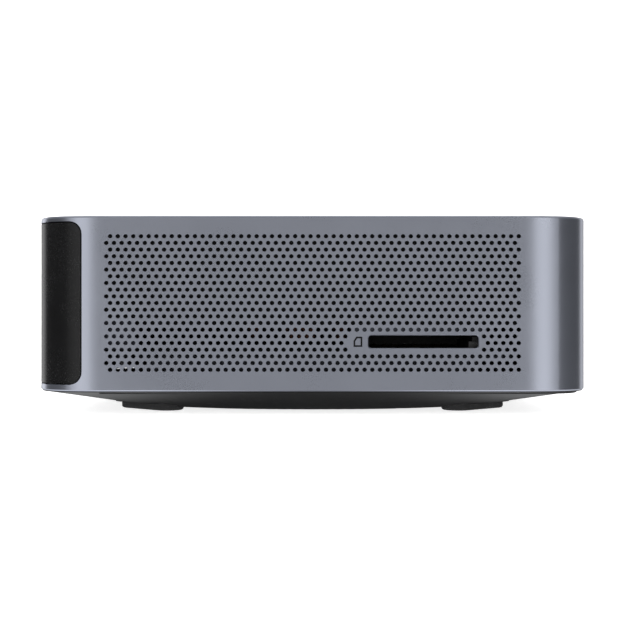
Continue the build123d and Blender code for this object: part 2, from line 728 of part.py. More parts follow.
with BuildPart() as wireless_card:
    with BuildSketch(Plane.XY.offset(BOARD_TOP + WIRELESS_RISE)):
        with Locations((WIRELESS_X, WIRELESS_Y)):
            Rectangle(CARD_W, WIRELESS_LENGTH)
        with Locations((WIRELESS_X, WIRELESS_SCREW_Y)):
            Circle(CARD_NOTCH_R, mode=Mode.SUBTRACT)
    extrude(amount=CARD_T)
    with BuildSketch(Plane.XY.offset(BOARD_TOP + WIRELESS_RISE + CARD_T)):
        with Locations((WIRELESS_X, WIRELESS_Y + 0.6)):
            Rectangle(18, 20)
    extrude(amount=1.4)
save(wireless_card, "wireless_card")

with BuildPart() as card_screws:
    drive_z = BOARD_BOTTOM - DRIVE_DROP
    wireless_z = BOARD_TOP + WIRELESS_RISE + CARD_T
    add(screw(0, DRIVE_SCREW_Y, drive_z, *CARD_SCREW))
    add(screw(WIRELESS_X, WIRELESS_SCREW_Y, wireless_z, *CARD_SCREW, up=False))
    # square pillars under the two cards' ends
    for x, y, low_z, high_z in (
        (0, DRIVE_SCREW_Y, drive_z + CARD_T + 0.05, BOARD_BOTTOM),
        (WIRELESS_X, WIRELESS_SCREW_Y, BOARD_TOP, BOARD_TOP + WIRELESS_RISE),
    ):
        add(block((x - 1.6, y - 1.6, low_z), (x + 1.6, y + 1.6, high_z)))
save(card_screws, "card_screws")

with BuildPart() as coin_cell:
    with BuildSketch(Plane.XY.offset(BOARD_TOP + CELL_RISE)):
        with Locations((CELL_X, CELL_Y)):
            Circle(CELL_R)
    extrude(amount=CELL_T)
    fillet(coin_cell.edges().group_by(Axis.Z)[-1], 0.5)
save(coin_cell, "coin_cell")

with BuildPart() as cell_holder:
    with BuildSketch(Plane.XY.offset(BOARD_TOP)):
        with Locations((CELL_X, CELL_Y)):
            Circle(HOLDER_R)
            Rectangle(2 * HOLDER_R + 2.4, 8)
    extrude(amount=CELL_RISE + CELL_T - 0.6)
    with BuildSketch(Plane.XY.offset(BOARD_TOP + CELL_RISE)):
        with Locations((CELL_X, CELL_Y)):
            Circle(CELL_R + 0.05)
    extrude(amount=CELL_T, mode=Mode.SUBTRACT)
save(cell_holder, "cell_holder")

with BuildPart() as power_parts:
    # row of chokes beside the processor, with their capacitors
    with BuildSketch(Plane.XY.offset(BOARD_TOP)):
        with Locations((-44, 10), (-44, 19), (-44, 28)):
            RectangleRounded(6.6, 6.6, 0.6)
    extrude(amount=3.6)
    with BuildSketch(Plane.XY.offset(BOARD_TOP)):
        with Locations((-53, 10), (-53, 19), (-53, 28)):
            Circle(3.1)
    extrude(amount=6.0)
save(power_parts, "power_parts")


# --- cooling ----------------------------------------------------------------------
with BuildPart() as processor:
    add(block((-19, CPU_Y - 14, BOARD_TOP), (19, CPU_Y + 14, BOARD_TOP + PACKAGE_T)))
    add(block((-8, CPU_Y - 6, BOARD_TOP + PACKAGE_T), (8, CPU_Y + 6, DIE_TOP)))
save(processor, "processor")

cooler_spots = [(x, CPU_Y + y) for x, y in mirrored_spots(23.0, 14.0)]
with BuildPart() as cold_plate:
    with BuildSketch(Plane.XY.offset(DIE_TOP)):
        with Locations((0, CPU_Y)):
            RectangleRounded(PLATE_W, PLATE_DEPTH, 3)
        with Locations(*cooler_spots):
            Circle(1.5, mode=Mode.SUBTRACT)
    extrude(amount=PLATE_TOP - DIE_TOP)
    for y in PIPE_Y:
        with BuildSketch(Plane.YZ.offset(-40)):
            with Locations((y, PIPE_LOW_Z)):
                Circle(PIPE_BORE_R)
        extrude(amount=80, mode=Mode.SUBTRACT)
save(cold_plate, "cold_plate")

with BuildPart() as cooler_screws:
    for x, y in cooler_spots:
        add(screw(x, y, PLATE_TOP, 2.4, 1.6, PLATE_TOP - BOARD_TOP, 1.2, up=False))
save(cooler_screws, "cooler_screws")

with BuildPart() as heat_pipes:
    for low_y, climb_x, fin_y, bend in zip(PIPE_Y, PIPE_X, PIPE_FIN_Y, (8.0, 6.0)):
        with BuildLine() as route:
            FilletPolyline(
                (-24, low_y, PIPE_LOW_Z),
                (climb_x, low_y, PIPE_LOW_Z),
                (climb_x, fin_y, PIPE_TOP_Z),
                (-DUCT_HALF, fin_y, PIPE_TOP_Z),
                radius=bend,
            )
        with BuildSketch(Plane(origin=(-24, low_y, PIPE_LOW_Z), z_dir=(1, 0, 0))):
            Circle(PIPE_R)
        sweep(path=route.line)
save(heat_pipes, "heat_pipes")

with BuildPart() as fin_stack:
    add(block((-DUCT_HALF, FIN_Y[0], BLOWER_BOTTOM), (DUCT_HALF, FIN_Y[1], BLOWER_BOTTOM + FIN_SKIN)))
    add(block((-DUCT_HALF, FIN_Y[0], BLOWER_TOP - FIN_SKIN), (DUCT_HALF, FIN_Y[1], BLOWER_TOP)))
    with BuildSketch(Plane.XY.offset(BLOWER_BOTTOM)):
        with Locations((0, sum(FIN_Y) / 2)):
            with GridLocations(FIN_PITCH, 1, FIN_COUNT, 1):
                Rectangle(FIN_SKIN, FIN_Y[1] - FIN_Y[0])
    extrude(amount=BLOWER_TOP - BLOWER_BOTTOM)
    with BuildSketch(Plane.YZ.offset(-WIDTH / 2)):
        with Locations(*[(y, PIPE_TOP_Z) for y in PIPE_FIN_Y]):
            Circle(PIPE_BORE_R)
    extrude(amount=WIDTH, mode=Mode.SUBTRACT)
save(fin_stack, "fin_stack")


def blower_plan(z, inset):
    """The blower's outline, a round scroll with a duct to the rear, drawn in by inset."""
    with BuildSketch(Plane.XY.offset(z)) as plan:
        with Locations((0, FAN_Y)):
            Circle(BLOWER_R - inset)
        with Locations((0, (FAN_Y + DUCT_END_Y) / 2)):
            Rectangle(2 * (DUCT_HALF - inset), DUCT_END_Y - FAN_Y)
    return plan.sketch


with BuildPart() as blower_housing:
    add(blower_plan(BLOWER_BOTTOM, 0))
    extrude(amount=BLOWER_TOP - BLOWER_BOTTOM - BLOWER_SKIN)
    add(blower_plan(BLOWER_BOTTOM + BLOWER_SKIN, 1.2))
    extrude(amount=BLOWER_TOP, mode=Mode.SUBTRACT)
    with BuildSketch(Plane.XZ.offset(-DUCT_END_Y - 2)):
        with Locations((0, (BLOWER_BOTTOM + BLOWER_TOP) / 2)):
            Rectangle(2 * DUCT_HALF - 2.4, BLOWER_TOP - BLOWER_BOTTOM - 2 * BLOWER_SKIN)
    extrude(amount=4, mode=Mode.SUBTRACT)
    with BuildSketch(Plane.XY.offset(BLOWER_BOTTOM)):
        with Locations((0, FAN_Y)):
            Circle(INTAKE_R)
            Circle(HUB_SEAT_R, mode=Mode.SUBTRACT)
            for turn in (30, 150, 270):
                with PolarLocations(INTAKE_R / 2 + 4, 1, start_angle=turn):
                    Rectangle(INTAKE_R, 4, mode=Mode.SUBTRACT)
    extrude(amount=BLOWER_SKIN, mode=Mode.SUBTRACT)
    with BuildSketch(Plane.XY.offset(BLOWER_BOTTOM)):
        with Locations(*BLOWER_EARS):
            Circle(EAR_R)
        add(blower_plan(BLOWER_BOTTOM, 0.6), mode=Mode.SUBTRACT)
        with Locations(*BLOWER_EARS):
            Circle(1.6, mode=Mode.SUBTRACT)
    extrude(amount=2)
save(blower_housing, "blower_housing")

with BuildPart() as blower_cover:
    add(blower_plan(BLOWER_TOP - BLOWER_SKIN, 0))
    extrude(amount=BLOWER_SKIN)
    with BuildSketch(Plane.XY.offset(BLOWER_TOP - BLOWER_SKIN)):
        with Locations((0, FAN_Y)):
            Circle(INTAKE_R + 2)
    extrude(amount=BLOWER_SKIN, mode=Mode.SUBTRACT)
save(blower_cover, "blower_cover")

with BuildPart() as blower_posts:
    with BuildSketch(Plane.XY.offset(BOARD_TOP)):
        with Locations(*BLOWER_EARS):
            RegularPolygon(2.9, 6)
            Circle(TAPPED_R, mode=Mode.SUBTRACT)
    extrude(amount=BLOWER_BOTTOM - BOARD_TOP)
save(blower_posts, "blower_posts")

# the same screw holds the cover to the frame, the board to the lugs and the blower to its posts
with BuildPart() as case_screws:
    for x, y in foot_spots:
        add(screw(x, y, COVER_BEARING_Z, HEAD_R, HEAD_H, SCREW_LENGTH, SCREW_R))
    for x, y in lug_spots:
        add(screw(x, y, FRAME_BOTTOM, HEAD_R, HEAD_H, SCREW_LENGTH, SCREW_R))
    for x, y in BLOWER_EARS:
        add(screw(x, y, BLOWER_BOTTOM + 2, HEAD_R, HEAD_H, SCREW_LENGTH, SCREW_R, up=False))
save(case_screws, "case_screws")

# fan: a fixed bearing tube with its coils, and a rotor that turns round it
with BuildPart() as fan_stator:
    with BuildSketch(Plane.XY.offset(BLOWER_BOTTOM + BLOWER_SKIN)):
        with Locations((0, FAN_Y)):
            Circle(TUBE_R)
    extrude(amount=7.5)
    with BuildSketch(Plane.XY.offset(BLOWER_BOTTOM + BLOWER_SKIN + COIL_Z)):
        with Locations((0, FAN_Y)):
            Circle(4)
            with PolarLocations(5, 6):
                Rectangle(6, 2.2)
            Circle(9)
            Circle(7.6, mode=Mode.SUBTRACT)
            with PolarLocations(5, 6):
                Rectangle(6.6, 2.2)
            with PolarLocations(8.6, 6, start_angle=30):
                Rectangle(3, 1.6, mode=Mode.SUBTRACT)
    extrude(amount=COIL_H)
    with BuildSketch(Plane.XY.offset(BLOWER_BOTTOM + BLOWER_SKIN + 0.5)):
        with Locations((0, FAN_Y)):
            Circle(SHAFT_R + SHAFT_PLAY)
    extrude(amount=10, mode=Mode.SUBTRACT)
save(fan_stator, "fan_stator")


def around(radius, degrees):
    return (radius * cos(radians(degrees)), radius * sin(radians(degrees)))


with BuildSketch() as blade:
    with BuildLine():
        middle_r = (BLADE_ROOT_R + BLADE_TIP_R) / 2
        lead_root = around(BLADE_ROOT_R, 0)
        lead_tip = around(BLADE_TIP_R, BLADE_SWEEP)
        trail_root = around(BLADE_ROOT_R, 2 * BLADE_TURN)
        trail_tip = around(BLADE_TIP_R, BLADE_SWEEP + BLADE_TURN)
        ThreePointArc(lead_root, around(middle_r, BLADE_SWEEP * 0.33), lead_tip)
        Line(lead_tip, trail_tip)
        ThreePointArc(trail_tip, around(middle_r, BLADE_SWEEP * 0.33 + BLADE_TURN * 1.3), trail_root)
        Line(trail_root, lead_root)
    make_face()

with BuildPart() as fan_rotor:
    with BuildSketch(Plane.XY.offset(HUB_BOTTOM)):
        with Locations((0, FAN_Y)):
            Circle(HUB_R)
    extrude(amount=HUB_TOP - HUB_BOTTOM)
    fillet(fan_rotor.edges().group_by(Axis.Z)[-1], HUB_WALL)
    with BuildSketch(Plane.XY.offset(HUB_BOTTOM)):
        with Locations((0, FAN_Y)):
            Circle(HUB_R - HUB_WALL)
    extrude(amount=HUB_TOP - HUB_BOTTOM - HUB_WALL, mode=Mode.SUBTRACT)
    # shaft
    with BuildSketch(Plane.XY.offset(BLOWER_BOTTOM + BLOWER_SKIN + 0.8)):
        with Locations((0, FAN_Y)):
            Circle(SHAFT_R)
    extrude(amount=HUB_TOP - BLOWER_BOTTOM - BLOWER_SKIN - 1.4)
    # web that carries the blades
    with BuildSketch(Plane.XY.offset(BLOWER_BOTTOM + WEB_RISE)):
        with Locations((0, FAN_Y)):
            Circle(BLADE_TIP_R - 3)
            Circle(HUB_R - HUB_WALL / 2, mode=Mode.SUBTRACT)
    extrude(amount=WEB_T)
    # swept blades, each a thin crescent between two arcs
    with BuildSketch(Plane.XY.offset(BLADE_BOTTOM)):
        with Locations((0, FAN_Y)):
            with PolarLocations(0, BLADES):
                add(blade.sketch)
    extrude(amount=BLADE_TOP - BLADE_BOTTOM)
save(fan_rotor, "fan_rotor")


# --- connectors ---------------------------------------------------------------------
def socket(name, rear, spots_x, centres_z, opening, outer, depth, tongue):
    """Connectors of one kind as two nodes: metal shells with their openings, and the insulators inside.

    opening is (width, height, corner radius) and outer the shell's; tongue is (width, thickness,
    rise above the opening's centre). The shells stand on the board.
    """
    width, height, corner = opening
    out_w, out_h, out_corner = outer
    middle_z = sum(centres_z) / len(centres_z)
    base_gap = middle_z - out_h / 2 - BOARD_TOP
    base_z = BOARD_TOP + (base_gap + out_corner) / 2
    inner_depth = depth - SOCKET_BACK
    with BuildPart() as shells:
        for x in spots_x:
            with BuildSketch(mouth(rear, x, middle_z)):
                RectangleRounded(out_w, out_h, out_corner)
            extrude(amount=-depth)
            with BuildSketch(mouth(rear, x, base_z).offset(-SOCKET_BASE_START)):
                Rectangle(out_w - 2 * out_corner, base_gap + out_corner)
            extrude(amount=SOCKET_BASE_START - depth)
            for z in centres_z:
                with BuildSketch(mouth(rear, x, z)):
                    RectangleRounded(width, height, corner)
                extrude(amount=-inner_depth, mode=Mode.SUBTRACT)
    save(shells, f"{name}_shells")
    with BuildPart() as inserts:
        for x in spots_x:
            for z in centres_z:
                with BuildSketch(mouth(rear, x, z).offset(-inner_depth)):
                    RectangleRounded(width - INSERT_PLAY, height - INSERT_PLAY, corner - INSERT_PLAY / 2)
                extrude(amount=INSERT_BLOCK)
                with BuildSketch(mouth(rear, x, z + tongue[2]).offset(-inner_depth)):
                    Rectangle(tongue[0], tongue[1])
                extrude(amount=inner_depth - TONGUE_SET_BACK)
    save(inserts, f"{name}_inserts")


def outer_of(opening):
    """The outside of a drawn shell round an opening."""
    grow = 2 * PORT_SKIN
    return (opening[0] + grow, opening[1] + grow, opening[2] + PORT_SKIN)


usb_tongue = (11.1, 1.8, 1.1)
usb_c_tongue = (6.7, 0.7, 0)
hdmi_tongue = (11.6, 1.2, 0)
socket("front_usb", False, FRONT_USB_X, (FRONT_PORT_Z,), USB, outer_of(USB), 14.0, usb_tongue)
socket("front_usb_c", False, (FRONT_USB_C_X,), (FRONT_PORT_Z,), USB_C, outer_of(USB_C), 9.0, usb_c_tongue)
socket("rear_usb", True, (REAR_USB_X,), REAR_USB_Z, USB, (REAR_USB_W, REAR_USB_H, 0.3), 15.0, usb_tongue)
socket("rear_usb_c", True, (REAR_USB_C_X,), REAR_USB_C_Z, USB_C, REAR_USB_C_OUT, 9.0, usb_c_tongue)
socket("hdmi", True, HDMI_X, (HDMI_Z,), HDMI, outer_of(HDMI), 11.5, hdmi_tongue)

# network port: a square metal shell round a plastic body with a stepped mouth for the latch
with BuildPart() as lan_shell:
    with BuildSketch(mouth(True, LAN_X, LAN_Z)):
        Rectangle(LAN_W, LAN_H)
        Rectangle(LAN_W - 2 * LAN_SKIN, LAN_H - 2 * LAN_SKIN, mode=Mode.SUBTRACT)
    extrude(amount=-LAN_DEPTH)
save(lan_shell, "lan_shell")

with BuildPart() as lan_insert:
    with BuildSketch(mouth(True, LAN_X, LAN_Z).offset(-0.2)):
        Rectangle(LAN_W - 2 * LAN_SKIN - INSERT_PLAY, LAN_H - 2 * LAN_SKIN - INSERT_PLAY)
    extrude(amount=0.4 - LAN_DEPTH)
    with BuildSketch(mouth(True, LAN_X, LAN_PLUG_Z)):
        Rectangle(*LAN_PLUG)
        with Locations((0, -LAN_PLUG[1] / 2 - 0.6)):
            Rectangle(6.2, 1.4)
        with Locations((0, -LAN_PLUG[1] / 2 - 1.8)):
            Rectangle(3.6, 1.4)
    extrude(amount=-LAN_DEPTH + 2.5, mode=Mode.SUBTRACT)
    with BuildSketch(mouth(True, LAN_X, LAN_PLUG_Z + LAN_PLUG[1] / 2 - 0.4).offset(-3.5)):
        with GridLocations(1.02, 1, 8, 1):
            Rectangle(0.45, 0.8)
    extrude(amount=-LAN_DEPTH + 7)
save(lan_insert, "lan_insert")


def barrel_body(rear, x, z, nose_r, bore_r, bore_depth, width, depth):
    """A block on the board with a round nose in the cut-out and a round bore into it."""
    nose = WALL if not rear else PANEL_WALL
    with BuildPart() as barrel:
        with BuildSketch(mouth(rear, x, z)):
            Circle(nose_r)
        extrude(amount=-nose - 0.5)
        body_top = z + nose_r + 0.8
        with BuildSketch(mouth(rear, x, (body_top + BOARD_TOP) / 2).offset(-nose)):
            Rectangle(width, body_top - BOARD_TOP)
        extrude(amount=nose - depth)
        with BuildSketch(mouth(rear, x, z)):
            Circle(bore_r)
        extrude(amount=-bore_depth, mode=Mode.SUBTRACT)
    return barrel


audio_jack = barrel_body(False, AUDIO_X, FRONT_PORT_Z, AUDIO_NOSE_R, AUDIO_R, AUDIO_DEPTH, 7.2, 14.0)
save(audio_jack, "audio_jack")

dc_jack = barrel_body(True, DC_X, DC_Z, DC_R + 1.0, DC_R, DC_DEPTH, 9.4, 14.0)
save(dc_jack, "dc_jack")

with BuildPart() as dc_pin:
    with BuildSketch(mouth(True, DC_X, DC_Z).offset(-DC_DEPTH)):
        Circle(1.0)
    extrude(amount=DC_DEPTH - 1.0)
    fillet(dc_pin.edges().group_by(Axis.Y)[-1], 0.5)
save(dc_pin, "dc_pin")


# --- power button, its ring, carrier and switch; status light -------------------------
button_face = Plane(origin=(BUTTON_X, -DEPTH / 2, BUTTON_Z), x_dir=(1, 0, 0), z_dir=(0, -1, 0))
with BuildPart() as power_button:
    with BuildSketch(button_face):
        Circle(BUTTON_R)
    extrude(amount=-WALL - 0.3)
    fillet(power_button.edges().group_by(Axis.Y)[0], BUTTON_EDGE_R)
    with BuildSketch(button_face.offset(-WALL - 0.3)):
        Circle(BUTTON_FLANGE_R)
    extrude(amount=-FLANGE_T)
    with BuildSketch(button_face.offset(-WALL - 0.3)):
        Circle(STEM_R)
    extrude(amount=-(DEPTH / 2 + STEM_END_Y - WALL - 0.3))
save(power_button, "power_button")

with BuildPart() as button_ring:
    with BuildSketch(button_face.offset(-0.05)):
        Circle(RING_R)
        Circle(BUTTON_R + 0.12, mode=Mode.SUBTRACT)
    extrude(amount=0.05 - WALL)
save(button_ring, "button_ring")

with BuildPart() as button_carrier:
    with BuildSketch(button_face.offset(-(DEPTH / 2 + CARRIER_Y))):
        RectangleRounded(CARRIER_W, CARRIER_H, 1.5)
        Circle(STEM_R + 0.2, mode=Mode.SUBTRACT)
    extrude(amount=-CARRIER_T)
    # two walls that hold the plate off the body's front
    for side in (-1, 1):
        x = BUTTON_X + side * (CARRIER_W / 2 - 1)
        low = (x - 1, WALL - DEPTH / 2, BUTTON_Z - CARRIER_H / 2)
        high = (x + 1, CARRIER_Y + 0.5, BUTTON_Z + CARRIER_H / 2)
        add(block(low, high))
save(button_carrier, "button_carrier")

with BuildPart() as power_switch:
    low = (BUTTON_X - SWITCH_HALF_W, SWITCH_Y[0], BOARD_TOP)
    high = (BUTTON_X + SWITCH_HALF_W, SWITCH_Y[1], BUTTON_Z + 3)
    add(block(low, high))
    with BuildSketch(button_face.offset(-(DEPTH / 2 + PLUNGER_Y))):
        Circle(PLUNGER_R)
    extrude(amount=PLUNGER_Y - SWITCH_Y[0] - 0.4)
save(power_switch, "power_switch")

with BuildPart() as light_pipe:
    with BuildSketch(mouth(False, LIGHT_X, FRONT_PORT_Z)):
        Circle(LIGHT_R)
    extrude(amount=-6.2)
    add(block((LIGHT_X - 0.7, -61.0, BOARD_TOP), (LIGHT_X + 0.7, -59.8, FRONT_PORT_Z)))
save(light_pipe, "light_pipe")

with BuildPart() as status_light:
    add(block((LIGHT_X - 0.8, -59.4, BOARD_TOP), (LIGHT_X + 0.8, -58.4, BOARD_TOP + 3.8)))
save(status_light, "status_light")

# --- antennas behind the rear panel's wrapped ends ------------------------------------
antenna_band = corner_band(26.0, 43.0, PANEL_WALL + 0.05, PANEL_WALL + 0.45, 56.6, 63.0)
with BuildPart() as antennas:
    add(antenna_band)
save(antennas, "antennas")

# --- card reader ------------------------------------------------------------------------
slot_low = SLOT_Z - SLOT_HEIGHT / 2
slot_high = SLOT_Z + SLOT_HEIGHT / 2
slot_front = SLOT_Y - SLOT_LENGTH / 2
slot_rear = SLOT_Y + SLOT_LENGTH / 2
reader_near, reader_far = READER_X
reader_front, reader_rear = READER_Y

with BuildPart() as card_reader_cover:
    # a lid whose walls at the front, the rear and the far end stand on the board
    add(block((reader_near, reader_front, slot_high + 0.35), (reader_far, reader_rear, READER_TOP)))
    hollow_low = (reader_near + READER_SKIN, reader_front + READER_SKIN, BOARD_TOP)
    hollow_high = (reader_far - READER_SKIN, reader_rear - READER_SKIN, READER_TOP - READER_SKIN)
    add(block(hollow_low, hollow_high), mode=Mode.SUBTRACT)
    for y in (reader_front, reader_rear - READER_SKIN):
        add(block((reader_near + 3, y, BOARD_TOP), (reader_far, y + READER_SKIN, READER_TOP)))
save(card_reader_cover, "card_reader_cover")

inside_near = reader_near + 0.05
inside_far = reader_far - READER_SKIN - 0.05
inside_front = reader_front + READER_SKIN + 0.05
inside_rear = reader_rear - READER_SKIN - 0.05
card_end = reader_far - 3
with BuildPart() as card_reader_body:
    add(block((inside_near, inside_front, BOARD_TOP), (inside_far, inside_rear, slot_high + 0.3)))
    # the channel that a card slides into
    channel = block((reader_near - 1, slot_front, slot_low), (card_end, slot_rear, slot_high + 1))
    add(channel, mode=Mode.SUBTRACT)
    # steps along the channel's front side, under and beside a card's edge
    add(block((reader_near + 0.3, slot_front, slot_low), (card_end, slot_front + 2.0, slot_low + 1.5)))
    ledge_high = (card_end, slot_front + 1.0, slot_high - 0.4)
    add(block((reader_near + 1.2, slot_front, slot_low + 1.4), ledge_high))
save(card_reader_body, "card_reader_body")

with BuildPart() as card_contacts:
    with BuildSketch(Plane.XY.offset(slot_low)):
        with Locations((reader_far - 9, SLOT_Y + 0.5)):
            with GridLocations(1, 2.5, 1, 9):
                Rectangle(9, 1.0)
    extrude(amount=0.3)
save(card_contacts, "card_contacts")

# --- dust screens -----------------------------------------------------------------------
with BuildPart() as dust_screens:
    for side, low_z in ((-1, SCREEN_LEFT_LOW), (1, SCREEN_RIGHT_LOW)):
        low_x, high_x = sorted((side * (WIDTH / 2 - WALL - SCREEN_T), side * (WIDTH / 2 - WALL)))
        add(block((low_x, -SCREEN_Y, SCREEN_Z[0]), (high_x, SCREEN_Y, SCREEN_Z[1])))
        add(block((low_x, -SCREEN_Y, low_z), (high_x, SCREEN_NOTCH_Y, SCREEN_Z[0])))
    # below the board the right screen is full length again
    add(block((low_x, -SCREEN_Y, SCREEN_RIGHT_LOW), (high_x, SCREEN_Y, SCREEN_LUG_LOW)))
save(dust_screens, "dust_screens")
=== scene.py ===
from math import asin, cos, degrees, pi, radians, sin, sqrt

import bmesh
import bpy
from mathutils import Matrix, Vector
from mathutils.geometry import delaunay_2d_cdt


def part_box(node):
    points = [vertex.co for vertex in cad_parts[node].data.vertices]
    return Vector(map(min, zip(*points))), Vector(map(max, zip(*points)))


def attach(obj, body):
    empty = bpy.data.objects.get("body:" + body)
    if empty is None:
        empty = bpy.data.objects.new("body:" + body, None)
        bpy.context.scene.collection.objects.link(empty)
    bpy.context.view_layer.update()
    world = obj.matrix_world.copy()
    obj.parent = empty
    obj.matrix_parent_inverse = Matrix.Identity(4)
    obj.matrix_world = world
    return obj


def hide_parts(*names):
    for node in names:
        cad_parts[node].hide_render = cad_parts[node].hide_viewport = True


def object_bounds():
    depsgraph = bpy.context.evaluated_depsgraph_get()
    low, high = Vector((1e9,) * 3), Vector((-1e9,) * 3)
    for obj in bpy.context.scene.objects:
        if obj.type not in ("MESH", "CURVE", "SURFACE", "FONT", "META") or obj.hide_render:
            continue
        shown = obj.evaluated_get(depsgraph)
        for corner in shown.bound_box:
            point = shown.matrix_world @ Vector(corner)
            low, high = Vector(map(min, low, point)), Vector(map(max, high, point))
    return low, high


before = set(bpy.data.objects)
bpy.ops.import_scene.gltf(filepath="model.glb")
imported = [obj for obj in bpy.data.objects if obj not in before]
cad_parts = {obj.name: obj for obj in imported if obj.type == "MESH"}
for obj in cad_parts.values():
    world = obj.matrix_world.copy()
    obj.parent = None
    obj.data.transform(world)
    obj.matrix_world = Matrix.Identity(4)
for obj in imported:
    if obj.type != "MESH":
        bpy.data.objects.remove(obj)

MM = 0.001


def box_mm(corners):
    return [[value / MM for value in corner] for corner in corners]


CAD_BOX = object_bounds()
HALF_X, HALF_Y, TOP = box_mm(CAD_BOX)[1]
BODY_BOTTOM = box_mm(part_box("enclosure_shell"))[0][2]

# --- sizes in millimetres, the same as the CAD model's -------------------------------
WALL = 1.5
ROOF = TOP - 1.25
RIM_R = 0.6
FOOT_EDGE = 0.3                     # chamfer along the aluminium's lower edge
CORNER_ARCS = ((28.0, 15.0), (10.7, 60.0), (28.0, 15.0))
ARC_STEP = 2.5                      # degrees between columns on a corner

FIELD_Y = 49.4
FIELD_TOP = 43.3
FIELD_BOTTOM = 9.7
HOLE_PITCH = 1.8
HOLE_R = 0.51
HOLE_BEVEL = 0.05
HOLE_SIDES = 14
HOLE_ROWS = 21
HOLE_COLUMNS = 54
GRILLE_TOP = 42.1
SLOT_FRAME_Y = (-39.2, -8.4)
SLOT_FRAME_Z = (14.82, 19.5)
SLOT = (-25.9, 17.45, 25.6, 3.0, 0.6)

ICON_Y = -10.6
ICON_W = 2.05
ICON_H = 2.4
ICON_CLIP = (0.65, 1.0)
ICON_LINE = 0.40
ICON_DEPTH = 0.03

LUG_Z = (15.62, 22.5)
LUG_INNER_X = 52.5
LUG_FRONT_Y = -50.5
LUG_REAR_Y = (41.6, 50.2)
LUG_ROOT = 1.3                      # lugs start this far inside the body's outline

WINDOW_FRONT_Y = 53.92
WINDOW_BOTTOM = 7.35
WINDOW_END_R = 3.0
PANEL_GAP = 0.28
PANEL_WALL = 1.8
LIP_Z = (6.6, 8.4)

FRONT_X = 51.0                      # half width of the flat front and rear stretches with cut-outs
SHEET_Z = (8.5, 44.5)               # the rear panel's pierced stretch
TONGUE_REACH = 2.2                  # how far the panel's tongues reach past the window's edge
CUT_BEVEL = 0.12                    # round the cut-outs for ports
PORT_GROW = 0.6                     # a front USB cut-out is this much larger than the port, each side
PORT_Z = 18.5
USB = (12.5, 5.1)                   # ports: width, height
USB_C = (8.4, 2.6)

SLACK = 0.001                       # two places nearer than this are the same
COLUMN_CLEAR = 0.4                  # degrees kept free of regular columns beside an extra one

# the places of a built piece's materials
OUTSIDE = 0
# on the aluminium pieces the INSIDE faces get the darkened aluminium, painted shade
INSIDE = 1
PRINT = 2
SHARP_ANGLE = 25.0                  # degrees between faces from which an edge is shaded sharp


# --- mesh building ----------------------------------------------------------------
class Shape:
    """Collects faces in millimetres and welds them into one object."""

    def __init__(self, name, body="chassis"):
        self.name = name
        self.body = body
        self.points = []
        self.spots = {}
        self.faces = []
        self.paints = []

    def corner(self, point):
        key = tuple(round(value, 3) for value in point)
        if key not in self.spots:
            self.spots[key] = len(self.points)
            self.points.append([value * MM for value in point])
        return self.spots[key]

    def face(self, points, paint=OUTSIDE):
        corners = []
        for point in points:
            number = self.corner(point)
            if number not in corners:
                corners.append(number)
        if len(corners) > 2:
            self.faces.append(corners)
            self.paints.append(paint)

    def finish(self, materials, replaced):
        """The object made of the faces, riding its body in place of the CAD nodes named."""
        data = bpy.data.meshes.new(self.name)
        data.from_pydata(self.points, [], self.faces)
        data.polygons.foreach_set("material_index", self.paints)
        welded = bmesh.new()
        welded.from_mesh(data)
        bmesh.ops.remove_doubles(welded, verts=welded.verts, dist=2e-6)
        bmesh.ops.recalc_face_normals(welded, faces=welded.faces)
        welded.to_mesh(data)
        welded.free()
        data.shade_smooth()
        data.set_sharp_from_angle(angle=radians(SHARP_ANGLE))
        made = bpy.data.objects.new(self.name, data)
        bpy.context.scene.collection.objects.link(made)
        for material in materials:
            data.materials.append(material)
        weighted = made.modifiers.new("weighted", "WEIGHTED_NORMAL")
        weighted.weight = 100
        weighted.keep_sharp = True
        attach(made, self.body)
        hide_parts(*replaced)


# A loop is a function: how far it is grown -> its corners, anticlockwise.
def circle_loop(u, v, radius, sides=HOLE_SIDES):
    def grown(grow):
        turns = [2 * pi * k / sides for k in range(sides)]
        return [(u + (radius + grow) * cos(turn), v + (radius + grow) * sin(turn)) for turn in turns]
    return grown


def rounded_loop(u, v, width, height, corner, steps=6):
    """A rounded rectangle; a slot when corner is half its shorter side."""
    def grown(grow):
        points = []
        for quarter, (su, sv) in enumerate(((1, 1), (-1, 1), (-1, -1), (1, -1))):
            for k in range(steps + 1):
                turn = pi / 2 * (quarter + k / steps)
                points.append((
                    u + su * (width / 2 - corner) + (corner + grow) * cos(turn),
                    v + sv * (height / 2 - corner) + (corner + grow) * sin(turn),
                ))
        return points
    return grown


def same_loop(points):
    return lambda grow: points


def sheet_faces(boundary, loops):
    """Triangles of a flat outline as (corners, numbers of the loops that each lies in)."""
    verts = []
    faces = []
    for loop in [boundary] + loops:
        start = len(verts)
        verts += [Vector(point) for point in loop]
        faces.append(list(range(start, start + len(loop))))
    points, _, triangles, _, _, sources = delaunay_2d_cdt(verts, [], faces, 1, 1e-7)
    made = []
    for triangle, source in zip(triangles, sources):
        made.append(([tuple(points[k]) for k in triangle], [k - 1 for k in source if k > 0]))
    return made


def ribbon(shape, loop_a, depth_a, loop_b, depth_b, place, paint=OUTSIDE):
    for k in range(len(loop_a)):
        n = (k + 1) % len(loop_a)
        shape.face([
            place(*loop_a[k], depth_a), place(*loop_a[n], depth_a),
            place(*loop_b[n], depth_b), place(*loop_b[k], depth_b),
        ], paint)


